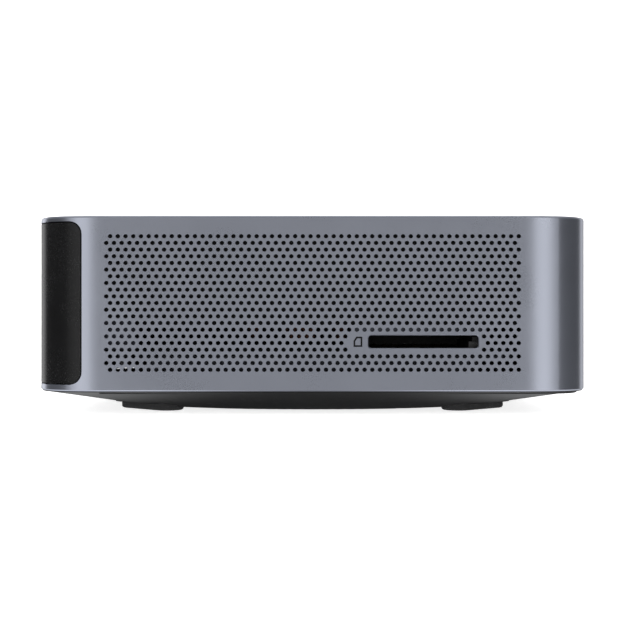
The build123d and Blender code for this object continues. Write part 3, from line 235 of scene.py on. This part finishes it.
def pierced(shape, place, boundary, through, thickness, recess=(), recess_depth=0.0):
    """Both faces of a sheet with (loop, bevel) holes through it, and painted recesses."""
    holes = len(through)
    sunk = [loop(0) for loop in recess]
    for corners, inside in sheet_faces(boundary, [loop(bevel) for loop, bevel in through] + sunk):
        if any(k < holes for k in inside):
            continue
        if len(inside) % 2:
            shape.face([place(*corner, recess_depth) for corner in corners], PRINT)
        else:
            shape.face([place(*corner, 0) for corner in corners])
    for loop in sunk:
        ribbon(shape, loop, 0, loop, recess_depth, place)
    for corners, inside in sheet_faces(boundary, [loop(0) for loop, _ in through]):
        if not inside:
            shape.face([place(*corner, thickness) for corner in corners], INSIDE)
    for loop, bevel in through:
        ribbon(shape, loop(bevel), 0, loop(0), bevel, place)
        ribbon(shape, loop(0), bevel, loop(0), thickness, place, INSIDE)


def on_left(u, v, depth):
    return (depth - HALF_X, u, v)


def on_right(u, v, depth):
    return (HALF_X - depth, u, v)


def on_front(u, v, depth):
    return (u, depth - HALF_Y, v)


def on_rear(u, v, depth):
    return (u, HALF_Y - depth, v)


# --- the body's outline as columns --------------------------------------------------
def corner_spot(turn):
    """Where a corner has got to after so many degrees: (along its first side, across it)."""
    along, across, heading = 0.0, 0.0, 0.0
    for radius, bend in CORNER_ARCS:
        now = min(turn, heading + bend)
        along += radius * (sin(radians(now)) - sin(radians(heading)))
        across += radius * (cos(radians(heading)) - cos(radians(now)))
        heading = now
        if now >= turn:
            break
    return along, across


CORNER_REACH = corner_spot(90)[0]
STRAIGHT_X = HALF_X - CORNER_REACH
STRAIGHT_Y = HALF_Y - CORNER_REACH


def outline(depths=()):
    """The body's plan as columns (x, y, outward x, outward y), round from the front's right end.

    depths are distances along Y at which the rear corners get a column as well.
    """
    regular = [ARC_STEP * k for k in range(round(90 / ARC_STEP) + 1)]
    extra = [degrees(asin((y - STRAIGHT_Y) / CORNER_ARCS[0][0])) for y in depths]
    clear = [turn for turn in regular if all(abs(turn - other) > COLUMN_CLEAR for other in extra)]
    right = [(FRONT_X, -HALF_Y, 0.0, -1.0)]
    for turn in regular:
        along, across = corner_spot(turn)
        right.append((STRAIGHT_X + along, across - HALF_Y, sin(radians(turn)), -cos(radians(turn))))
    right += [(HALF_X, -FIELD_Y, 1.0, 0.0), (HALF_X, FIELD_Y, 1.0, 0.0)]
    for turn in sorted(clear + extra):
        along, across = corner_spot(turn)
        right.append((HALF_X - across, STRAIGHT_Y + along, cos(radians(turn)), sin(radians(turn))))
    right.append((FRONT_X, HALF_Y, 0.0, 1.0))
    return right + [(-x, y, -nx, ny) for x, y, nx, ny in reversed(right)]


def at(column, inset, z):
    x, y, out_x, out_y = column
    return (x - inset * out_x, y - inset * out_y, z)


def end_rise(y, edge_y, radius):
    """How far the rounded end of a rear opening stands in from its top and bottom at depth y."""
    left = edge_y + radius - y
    return radius - sqrt(max(radius * radius - left * left, 0.0)) if left > 0 else 0.0


def end_depths(edge_y, radius, steps=6):
    """Depths along Y that divide the rounded end of a rear opening evenly."""
    return [edge_y + radius * (1 - cos(pi / 2 * k / steps)) for k in range(steps + 1)]


def strips(shape, column_a, column_b, levels_a, levels_b, paint=OUTSIDE):
    """Faces between two columns, level by level; a level is (inset, z)."""
    for k in range(len(levels_a) - 1):
        shape.face([
            at(column_a, *levels_a[k]), at(column_b, *levels_b[k]),
            at(column_b, *levels_b[k + 1]), at(column_a, *levels_a[k + 1]),
        ], paint)


def end_face(shape, column, outer, inner, low, high):
    """The face that closes a wall at a column."""
    shape.face([
        at(column, outer, low), at(column, outer, high),
        at(column, inner, high), at(column, inner, low),
    ])


def rectangle(half, low, high):
    return [(-half, low), (half, low), (half, high), (-half, high)]


# --- enclosure ----------------------------------------------------------------------
def card_icon():
    """A memory card's outline with a clipped corner, as two loops beside the slot."""
    half_w, half_h = ICON_W / 2, ICON_H / 2
    clip_w, clip_h = ICON_CLIP
    slope = sqrt(clip_w * clip_w + clip_h * clip_h)

    def card(inset):
        return [
            (inset - half_w, inset - half_h),
            (half_w - inset, inset - half_h),
            (half_w - inset, half_h - inset),
            (clip_w - half_w + inset * (slope - clip_w) / clip_h, half_h - inset),
            (inset - half_w, half_h - clip_h - inset * (slope - clip_h) / clip_w),
        ]

    cards = [reversed(card(inset)) for inset in (0, ICON_LINE)]
    return [same_loop([(ICON_Y - x, SLOT[1] + z) for x, z in corners]) for corners in cards]


def grille_holes(clear_y=(0, 0), clear_z=(0, 0)):
    """Loops for the drilled holes, left out in a clear stretch."""
    holes = []
    for row in range(HOLE_ROWS):
        z = GRILLE_TOP - row * HOLE_PITCH * sqrt(3) / 2
        shift = HOLE_PITCH / 4 if row % 2 else -HOLE_PITCH / 4
        for column in range(HOLE_COLUMNS):
            y = (column - (HOLE_COLUMNS - 1) / 2) * HOLE_PITCH + shift
            if clear_y[0] < y < clear_y[1] and clear_z[0] < z < clear_z[1]:
                continue
            holes.append((circle_loop(y, z, HOLE_R), HOLE_BEVEL))
    return holes


def side_grille(name, place, holes, materials, replaced, recess=()):
    """A drilled field as one sheet, with walls all round where it meets the shell."""
    side = Shape(name)
    boundary = rectangle(FIELD_Y, FIELD_BOTTOM, FIELD_TOP)
    pierced(side, place, boundary, holes, WALL, recess, ICON_DEPTH)
    ribbon(side, boundary, 0, boundary, WALL, place, INSIDE)
    side.finish(materials, replaced)


def port_cut(x, port, corner):
    width, height = port
    return rounded_loop(x, PORT_Z, width + 2 * PORT_GROW, height + 2 * PORT_GROW, corner), CUT_BEVEL


FRONT_CUTS = [
    port_cut(-33.0, USB, 1.0),
    port_cut(-15.0, USB, 1.0),
    port_cut(0.0, USB_C, 1.85),
    (circle_loop(13.0, PORT_Z, 3.05, 40), CUT_BEVEL),           # audio jack
    (circle_loop(24.0, PORT_Z, 1.0, 24), 0.08),                 # status light
    (circle_loop(40.0, 23.6, 6.4, 64), CUT_BEVEL),              # power button
]
REAR_CUTS = [
    (circle_loop(40.0, 20.8, 4.35, 48), CUT_BEVEL),             # power jack
    (rounded_loop(26.5, 21.7, 10.3, 11.1, 1.8), CUT_BEVEL),     # two small ports, one over the other
    (rounded_loop(10.5, 18.4, 15.3, 5.8, 1.6), CUT_BEVEL),      # display ports
    (rounded_loop(-7.5, 18.4, 15.3, 5.8, 1.6), CUT_BEVEL),
    (rounded_loop(-24.5, 22.4, 16.7, 13.9, 0.2), CUT_BEVEL),    # network
    (rounded_loop(-40.8, 23.0, 14.1, 14.9, 0.2), CUT_BEVEL),    # two large ports, one over the other
]
# slots for the fan's air
REAR_CUTS += [(rounded_loop((k - 9) * 3.2, 38.0, 1.7, 9.4, 0.85), 0.15) for k in range(19)]


def lug_plans():
    """Outlines of the corner lugs that the board is screwed up against, rooted in the wall."""
    plans = []
    low_y, high_y = LUG_REAR_Y
    outer_x = HALF_X - LUG_ROOT
    rear = [(LUG_INNER_X, low_y), (outer_x, low_y), (outer_x, high_y), (LUG_INNER_X, high_y)]
    rim = [at(column, LUG_ROOT, 0)[:2] for column in outline()]
    for way in (-1, 1):
        plans.append([(way * x, y) for x, y in rear])
        front = [(x, y) for x, y in rim if way * x > LUG_INNER_X and y < LUG_FRONT_Y]
        if way < 0:
            front.reverse()
        inner_x = way * LUG_INNER_X
        plans.append(
            [(inner_x, front[0][1])] + front + [(front[-1][0], LUG_FRONT_Y), (inner_x, LUG_FRONT_Y)]
        )
    return plans


def prism(shape, plan, low, high):
    """A closed upright block over a plan."""
    for k in range(len(plan)):
        (x0, y0), (x1, y1) = plan[k], plan[(k + 1) % len(plan)]
        shape.face([(x0, y0, low), (x1, y1, low), (x1, y1, high), (x0, y0, high)], INSIDE)
    for z in (low, high):
        shape.face([(x, y, z) for x, y in plan], INSIDE)


def body_shell(materials):
    """The milled body: banded walls, top, rounded rims, the front's cut-outs and the rear window."""
    shell = Shape("body_shell")
    columns = outline(end_depths(WINDOW_FRONT_Y, WINDOW_END_R))
    turns = [pi / 16 * k for k in range(9)]
    fillet = [(RIM_R * (1 - cos(turn)), TOP - RIM_R + RIM_R * sin(turn)) for turn in turns]
    lows, highs = [], []
    for x, y, _, _ in columns:
        if y > WINDOW_FRONT_Y - SLACK:
            rise = end_rise(y, WINDOW_FRONT_Y, WINDOW_END_R)
            lows.append(WINDOW_BOTTOM + rise)
            highs.append(ROOF - rise)
        else:
            lows.append(FIELD_BOTTOM)
            highs.append(FIELD_TOP)

    def opening(a, b):
        if a[1] > WINDOW_FRONT_Y - SLACK and b[1] > WINDOW_FRONT_Y - SLACK:
            return "rear"
        if abs(a[1]) == FIELD_Y and a[1] == -b[1]:
            return "side"
        if a[1] == b[1] == -HALF_Y and abs(a[0]) == FRONT_X and a[0] == -b[0]:
            return "front"
        return ""

    count = len(columns)
    kinds = [opening(columns[k], columns[(k + 1) % count]) for k in range(count)]
    for k in range(count):
        n = (k + 1) % count
        a, b = columns[k], columns[n]
        ends = (k, n)
        strips(shell, a, b, *[
            [(WALL, BODY_BOTTOM), (FOOT_EDGE, BODY_BOTTOM), (0, BODY_BOTTOM + FOOT_EDGE), (0, lows[j])]
            for j in ends
        ])
        strips(shell, a, b, *[[(0, highs[j])] + fillet for j in ends])
        strips(shell, a, b, *[[(WALL, BODY_BOTTOM), (WALL, lows[j])] for j in ends], INSIDE)
        strips(shell, a, b, *[[(WALL, highs[j]), (WALL, ROOF)] for j in ends], INSIDE)
        if not kinds[k]:
            for inset, paint in ((0, OUTSIDE), (WALL, INSIDE)):
                strips(shell, a, b, *[[(inset, lows[j]), (inset, highs[j])] for j in ends], paint)
        elif kinds[k] != "front":
            for edge in (lows, highs):
                strips(shell, a, b, *[[(0, edge[j]), (WALL, edge[j])] for j in ends])
        if kinds[k] != kinds[k - 1] and "front" not in (kinds[k], kinds[k - 1]):
            end_face(shell, a, 0, WALL, lows[k], highs[k])
    shell.face([at(column, RIM_R, TOP) for column in columns])
    shell.face([at(column, WALL, ROOF) for column in columns], INSIDE)
    pierced(shell, on_front, rectangle(FRONT_X, FIELD_BOTTOM, FIELD_TOP), FRONT_CUTS, WALL)
    for plan in lug_plans():
        prism(shell, plan, *LUG_Z)
    shell.finish(materials, ("enclosure_shell",))


def tongue_runs():
    """The columns on each side that the rear panel's tongues follow."""
    low, high = WINDOW_FRONT_Y - TONGUE_REACH, WINDOW_FRONT_Y + TONGUE_REACH
    spots = outline([low + (high - low) * k / 4 for k in range(5)])
    near = [column for column in spots if low - SLACK < column[1] < high + SLACK]
    return [column for column in near if column[0] > 0], [column for column in near if column[0] < 0]


def closed_band(shape, columns, z0, z1, outer, inner):
    """A closed upright band along columns, between two insets."""
    for a, b in zip(columns, columns[1:]):
        ring = [(outer, z0), (outer, z1), (inner, z1), (inner, z0), (outer, z0)]
        strips(shape, a, b, ring, ring)
    for column in (columns[0], columns[-1]):
        end_face(shape, column, outer, inner, z0, z1)


def rear_cover(materials):
    """The black panel that closes the rear and wraps round both corners."""
    panel = Shape("rear_cover")
    edge_y = WINDOW_FRONT_Y + PANEL_GAP
    end_r = WINDOW_END_R - PANEL_GAP
    low_z, high_z = WINDOW_BOTTOM + PANEL_GAP, ROOF - PANEL_GAP
    columns = [column for column in outline(end_depths(edge_y, end_r)) if column[1] > edge_y - SLACK]

    def levels(y):
        rise = end_rise(y, edge_y, end_r)
        low, high = low_z + rise, high_z - rise
        return [low, max(low, SHEET_Z[0]), min(high, SHEET_Z[1]), high]

    for a, b in zip(columns, columns[1:]):
        ends = levels(a[1]), levels(b[1])
        flat = a[1] == b[1] == HALF_Y and abs(a[0]) == abs(b[0]) == FRONT_X
        for inset in (0, PANEL_WALL):
            for k in range(3):
                if not (flat and k == 1):
                    strips(panel, a, b, *[[(inset, zs[k]), (inset, zs[k + 1])] for zs in ends])
        for k in (0, 3):
            strips(panel, a, b, *[[(0, zs[k]), (PANEL_WALL, zs[k])] for zs in ends])
    for column in (columns[0], columns[-1]):
        zs = levels(column[1])
        end_face(panel, column, 0, PANEL_WALL, zs[0], zs[3])
    pierced(panel, on_rear, rectangle(FRONT_X, *SHEET_Z), REAR_CUTS, PANEL_WALL)
    # tongues that reach in behind the aluminium
    for run in tongue_runs():
        closed_band(panel, run, WINDOW_BOTTOM + 2, ROOF - 2, WALL + 0.15, WALL + 1.5)
    # a lip along the bottom, so that no light comes in through the gap
    closed_band(panel, columns, *LIP_Z, WALL + 0.15, WALL + 0.65)
    # the walls of its cut-outs are the same plastic as its faces
    panel.finish(materials, ("rear_panel",))


# --- materials -----------------------------------------------------------------------
NOISE_SPAN = (0.3, 0.7)             # a noise's values that reach the ends of what it changes
FINE_SHARE = 0.4                    # how much of the change in gloss is the fine noise's


def finish_material(
    name, colour, metallic, roughness, grain, depth, blotch,
    colour_shift=0.06, rough_shift=0.06, stretch=(1.0, 1.0, 1.0), specular=0.5,
):
    """A surface with fine relief and slow changes of colour and gloss.

    grain and depth are the relief's size in mm, blotch is the size of the changes in mm.
    """
    material = bpy.data.materials.new(name)
    material.use_nodes = True
    nodes, links = material.node_tree.nodes, material.node_tree.links
    shader = nodes["Principled BSDF"]
    shader.inputs["Metallic"].default_value = metallic
    shader.inputs["Specular IOR Level"].default_value = specular

    place = nodes.new("ShaderNodeTexCoord")
    mapping = nodes.new("ShaderNodeMapping")
    mapping.inputs["Scale"].default_value = stretch
    links.new(place.outputs["Object"], mapping.inputs["Vector"])

    fine = nodes.new("ShaderNodeTexNoise")
    fine.inputs["Scale"].default_value = 1 / (grain * MM)
    fine.inputs["Detail"].default_value = 3.0
    links.new(mapping.outputs["Vector"], fine.inputs["Vector"])
    slow = nodes.new("ShaderNodeTexNoise")
    slow.inputs["Scale"].default_value = 1 / (blotch * MM)
    slow.inputs["Detail"].default_value = 4.0
    links.new(place.outputs["Object"], slow.inputs["Vector"])

    tint = nodes.new("ShaderNodeValToRGB")
    low, high = tint.color_ramp.elements
    low.position, high.position = NOISE_SPAN
    low.color = (*[value * (1 - colour_shift) for value in colour], 1)
    high.color = (*[min(value * (1 + colour_shift), 1) for value in colour], 1)
    links.new(slow.outputs["Fac"], tint.inputs["Fac"])
    links.new(tint.outputs["Color"], shader.inputs["Base Color"])

    gloss = nodes.new("ShaderNodeMapRange")
    gloss.inputs["From Min"].default_value = NOISE_SPAN[0]
    gloss.inputs["From Max"].default_value = NOISE_SPAN[1]
    gloss.inputs["To Min"].default_value = roughness - rough_shift
    gloss.inputs["To Max"].default_value = roughness + rough_shift
    both = nodes.new("ShaderNodeMath")
    both.operation = "MULTIPLY_ADD"
    both.inputs[1].default_value = FINE_SHARE
    links.new(fine.outputs["Fac"], both.inputs[0])
    rest = nodes.new("ShaderNodeMath")
    rest.operation = "MULTIPLY"
    rest.inputs[1].default_value = 1 - FINE_SHARE
    links.new(slow.outputs["Fac"], rest.inputs[0])
    links.new(rest.outputs["Value"], both.inputs[2])
    links.new(both.outputs["Value"], gloss.inputs["Value"])
    links.new(gloss.outputs["Result"], shader.inputs["Roughness"])

    bump = nodes.new("ShaderNodeBump")
    bump.inputs["Strength"].default_value = 1.0
    bump.inputs["Distance"].default_value = depth * MM
    links.new(fine.outputs["Fac"], bump.inputs["Height"])
    links.new(bump.outputs["Normal"], shader.inputs["Normal"])
    return material


ALUMINIUM = (0.52, 0.547, 0.632)
MATERIALS = {
    "shell_aluminium": finish_material(
        "blasted_aluminium", ALUMINIUM, 1.0, 0.285, grain=0.16, depth=0.004, blotch=14.0,
        colour_shift=0.012, rough_shift=0.02,
    ),
    "button_aluminium": finish_material(
        "turned_aluminium", ALUMINIUM, 1.0, 0.26, grain=0.3, depth=0.003, blotch=3.0,
        stretch=(0.15, 1, 1),
    ),
    "panel_plastic": finish_material(
        "panel_black", (0.004, 0.004, 0.0042), 0.0, 0.26, grain=0.5, depth=0.002, blotch=8.0,
        colour_shift=0.15, rough_shift=0.04, specular=0.28,
    ),
    "base_plastic": finish_material(
        "base_black", (0.009, 0.009, 0.0095), 0.0, 0.34, grain=0.28, depth=0.010, blotch=10.0,
        colour_shift=0.12, rough_shift=0.05,
    ),
    "foot_rubber": finish_material(
        "foot_rubber", (0.024, 0.024, 0.025), 0.0, 0.72, grain=0.35, depth=0.018, blotch=5.0,
        colour_shift=0.2, rough_shift=0.08, specular=0.35,
    ),
    "screw_steel": finish_material(
        "screw_steel", (0.30, 0.30, 0.31), 1.0, 0.34, grain=0.25, depth=0.004, blotch=2.0,
    ),
    "insert_brass": finish_material(
        "insert_brass", (0.62, 0.43, 0.17), 1.0, 0.33, grain=0.3, depth=0.005, blotch=2.5,
    ),
    "frame_steel": finish_material(
        "frame_steel", (0.20, 0.21, 0.24), 1.0, 0.42, grain=0.5, depth=0.003, blotch=8.0,
        rough_shift=0.1,
    ),
    "board_laminate": finish_material(
        "board_laminate", (0.008, 0.016, 0.012), 0.0, 0.36, grain=0.9, depth=0.02, blotch=3.0,
        colour_shift=0.5,
    ),
    "chip_resin": finish_material(
        "chip_resin", (0.012, 0.012, 0.013), 0.0, 0.5, grain=0.15, depth=0.008, blotch=2.0,
    ),
    "socket_plastic": finish_material(
        "socket_black", (0.010, 0.010, 0.011), 0.0, 0.45, grain=0.3, depth=0.006, blotch=4.0,
    ),
    "port_steel": finish_material(
        "port_steel", (0.56, 0.56, 0.57), 1.0, 0.24, grain=0.4, depth=0.003, blotch=2.5,
        rough_shift=0.08,
    ),
    "contact_gold": finish_material(
        "contact_gold", (0.83, 0.58, 0.20), 1.0, 0.26, grain=0.3, depth=0.003, blotch=1.5,
    ),
    "copper": finish_material(
        "copper", (0.50, 0.235, 0.145), 1.0, 0.32, grain=0.5, depth=0.004, blotch=6.0,
        stretch=(1, 0.2, 1), rough_shift=0.1,
    ),
    "fin_aluminium": finish_material(
        "fin_aluminium", (0.62, 0.63, 0.64), 1.0, 0.32, grain=0.5, depth=0.004, blotch=5.0,
    ),
    "blower_plastic": finish_material(
        "blower_black", (0.012, 0.012, 0.012), 0.0, 0.48, grain=0.4, depth=0.008, blotch=6.0,
    ),
    "screen_mesh": finish_material(
        "woven_screen", (0.006, 0.006, 0.0062), 0.0, 0.6, grain=0.25, depth=0.03, blotch=6.0,
    ),
    "light_plastic": finish_material(
        "light_diffuser", (0.72, 0.74, 0.76), 0.0, 0.35, grain=0.5, depth=0.003, blotch=3.0,
    ),
}
# painted shade: a darkened copy of the aluminium for the faces inside the body, the lugs and the walls
# of the holes
SHADED_INNER_ALUMINIUM = finish_material(
    "painted_shade_aluminium", (0.09, 0.095, 0.115), 1.0, 0.5, grain=0.2, depth=0.006, blotch=4.0,
)
ICON_PAINT = finish_material(
    "icon_print", (0.004, 0.004, 0.005), 0.0, 0.7, grain=0.1, depth=0.002, blotch=1.0, specular=0.15,
)
# painted shade: gold darkened for the card reader's contacts deep inside the slot
SHADED_GOLD = finish_material(
    "painted_shade_gold", (0.04, 0.03, 0.017), 1.0, 0.6, grain=0.3, depth=0.006, blotch=1.5,
)


# --- carried-over nodes ---------------------------------------------------------------
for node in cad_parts.values():
    for material_slot in node.material_slots:
        material_slot.material = MATERIALS[material_slot.material.name.split(".")[0]]
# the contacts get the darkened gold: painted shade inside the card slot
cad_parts["card_contacts"].material_slots[0].material = SHADED_GOLD

# --- camera -------------------------------------------------------------------------
CAMERA_X = -0.3675
CAMERA_Z = 0.02428
CAMERA_LENS = 74.05
camera_data = bpy.data.cameras.new("camera")
camera_data.lens = CAMERA_LENS
camera_data.sensor_width = 36.0
camera_data.clip_start = 0.01
camera_data.clip_end = 20.0
camera = bpy.data.objects.new("camera", camera_data)
camera.location = (CAMERA_X, 0.0, CAMERA_Z)
camera.rotation_euler = (pi / 2, 0.0, -pi / 2)
bpy.context.scene.collection.objects.link(camera)
bpy.context.scene.camera = camera

# --- pieces -------------------------------------------------------------------------
# the second material is the darkened aluminium: painted shade on the inside faces
SHELL_MATERIALS = [MATERIALS["shell_aluminium"], SHADED_INNER_ALUMINIUM]
body_shell(SHELL_MATERIALS)
side_grille(
    "grille_left", on_left,
    grille_holes(SLOT_FRAME_Y, SLOT_FRAME_Z) + [(rounded_loop(*SLOT), 0.2)],
    SHELL_MATERIALS + [ICON_PAINT], ("side_grille_left", "card_slot_frame"), card_icon(),
)
side_grille("grille_right", on_right, grille_holes(), SHELL_MATERIALS, ("side_grille_right",))
rear_cover([MATERIALS["panel_plastic"], MATERIALS["panel_plastic"]])


# --- floor, backdrop and light --------------------------------------------------------
def backdrop():
    """A pale round floor that sweeps up into a wall on every side."""
    sweep = bmesh.new()
    bend_start, bend_r, wall_top, sides = 1.8, 0.8, 2.6, 48
    profile = [(0.3, 0.0), (bend_start, 0.0)]
    for k in range(1, 13):
        bend = pi / 24 * k
        profile.append((bend_start + bend_r * sin(bend), bend_r * (1 - cos(bend))))
    profile.append((bend_start + bend_r, wall_top))
    turns = [2 * pi * k / sides for k in range(sides)]
    rings = [[sweep.verts.new((r * cos(turn), r * sin(turn), z)) for turn in turns] for r, z in profile]
    sweep.faces.new(rings[0])
    for inner, outer in zip(rings, rings[1:]):
        for k in range(sides):
            n = (k + 1) % sides
            sweep.faces.new((inner[k], outer[k], outer[n], inner[n])).smooth = True
    data = bpy.data.meshes.new("backdrop")
    sweep.to_mesh(data)
    sweep.free()
    paper = bpy.data.materials.new("backdrop_paper")
    paper.use_nodes = True
    shader = paper.node_tree.nodes["Principled BSDF"]
    shader.inputs["Base Color"].default_value = (0.82, 0.82, 0.82, 1)
    shader.inputs["Roughness"].default_value = 0.95
    shader.inputs["Specular IOR Level"].default_value = 0.1
    shader.inputs["Emission Color"].default_value = (1, 1, 1, 1)
    shader.inputs["Emission Strength"].default_value = 0.8
    data.materials.append(paper)
    made = bpy.data.objects.new("backdrop", data)
    bpy.context.scene.collection.objects.link(made)
    made.visible_glossy = False
    made.visible_shadow = False


AIM = (0, 0, 0.025)                 # every light points at the middle of the object
SHADE_HALF = 0.09
SHADE_HEIGHT = 0.0002
SHADE_FADE = (0.059, 0.080)         # from the middle: dark up to the first, gone from the second


def softbox(name, angle, distance, height, width, tall, radiance):
    """A rectangular light, its angle in degrees from the camera's side towards the front."""
    data = bpy.data.lights.new(name, "AREA")
    data.shape = "RECTANGLE"
    data.size = width
    data.size_y = tall
    data.energy = radiance * pi * width * tall
    light = bpy.data.objects.new(name, data)
    light.location = (-distance * cos(radians(angle)), -distance * sin(radians(angle)), height)
    light.rotation_euler = (Vector(AIM) - light.location).to_track_quat("-Z", "Y").to_euler()
    bpy.context.scene.collection.objects.link(light)


def floor_shade():
    """The dark that the base mirrors: the floor under the object, where no light reaches.

    Only reflections see it, as they don't see the backdrop.
    """
    sheet = bmesh.new()
    spots = rectangle(SHADE_HALF, -SHADE_HALF, SHADE_HALF)
    sheet.faces.new([sheet.verts.new((x, y, SHADE_HEIGHT)) for x, y in spots])
    data = bpy.data.meshes.new("floor_shade")
    sheet.to_mesh(data)
    sheet.free()
    shade = bpy.data.materials.new("floor_shade")
    shade.use_nodes = True
    nodes, links = shade.node_tree.nodes, shade.node_tree.links
    nodes.clear()
    place = nodes.new("ShaderNodeTexCoord")
    reach = nodes.new("ShaderNodeVectorMath")
    reach.operation = "LENGTH"
    links.new(place.outputs["Object"], reach.inputs[0])
    fade = nodes.new("ShaderNodeMapRange")
    fade.interpolation_type = "SMOOTHSTEP"
    fade.inputs["From Min"].default_value = SHADE_FADE[0]
    fade.inputs["From Max"].default_value = SHADE_FADE[1]
    links.new(reach.outputs["Value"], fade.inputs["Value"])
    dark = nodes.new("ShaderNodeEmission")
    dark.inputs["Color"].default_value = (0.02, 0.02, 0.02, 1)
    clear = nodes.new("ShaderNodeBsdfTransparent")
    blend = nodes.new("ShaderNodeMixShader")
    out = nodes.new("ShaderNodeOutputMaterial")
    links.new(fade.outputs["Result"], blend.inputs["Fac"])
    links.new(dark.outputs["Emission"], blend.inputs[1])
    links.new(clear.outputs["BSDF"], blend.inputs[2])
    links.new(blend.outputs["Shader"], out.inputs["Surface"])
    data.materials.append(shade)
    made = bpy.data.objects.new("floor_shade", data)
    bpy.context.scene.collection.objects.link(made)
    made.visible_camera = False
    made.visible_diffuse = False
    made.visible_shadow = False


# angle, distance, height, width, tall, radiance
LIGHTS = {
    "box_front": (27, 1.0, 0.06, 0.36, 1.10, 0.96),
    "box_rear": (-27, 1.0, 0.06, 0.36, 1.10, 0.96),
    "back_front": (130, 1.0, 0.06, 0.50, 0.90, 0.62),
    "back_rear": (-128, 1.0, 0.06, 0.56, 0.90, 1.05),
    "box_camera": (0, 1.3, 0.12, 0.40, 0.64, 0.265),
    "box_top": (180, 0.1, 1.3, 1.4, 1.4, 0.24),
}
# from straight down at 0 to straight up at 1: how bright the studio is
WORLD_STEPS = ((0.0, 0.95), (0.33, 0.62), (0.44, 0.08), (0.55, 0.08), (0.70, 0.25), (1.0, 0.4))

backdrop()
floor_shade()
for name, settings in LIGHTS.items():
    softbox(name, *settings)


def studio_world():
    """Even dim light at the horizon, paler below and overhead."""
    world = bpy.data.worlds.new("studio")
    world.use_nodes = True
    nodes, links = world.node_tree.nodes, world.node_tree.links
    way = nodes.new("ShaderNodeTexCoord")
    split = nodes.new("ShaderNodeSeparateXYZ")
    links.new(way.outputs["Generated"], split.inputs["Vector"])
    height = nodes.new("ShaderNodeMapRange")
    height.inputs["From Min"].default_value = -1.0
    height.inputs["From Max"].default_value = 1.0
    links.new(split.outputs["Z"], height.inputs["Value"])
    shade = nodes.new("ShaderNodeValToRGB")
    ramp = shade.color_ramp
    while len(ramp.elements) < len(WORLD_STEPS):
        ramp.elements.new(0.5)
    for element, (position, value) in zip(ramp.elements, WORLD_STEPS):
        element.position = position
        element.color = (value * 0.97, value * 0.98, value, 1)
    links.new(height.outputs["Result"], shade.inputs["Fac"])
    links.new(shade.outputs["Color"], nodes["Background"].inputs["Color"])
    nodes["Background"].inputs["Strength"].default_value = 1.0
    bpy.context.scene.world = world


studio_world()
bpy.context.scene.view_settings.view_transform = "Standard"
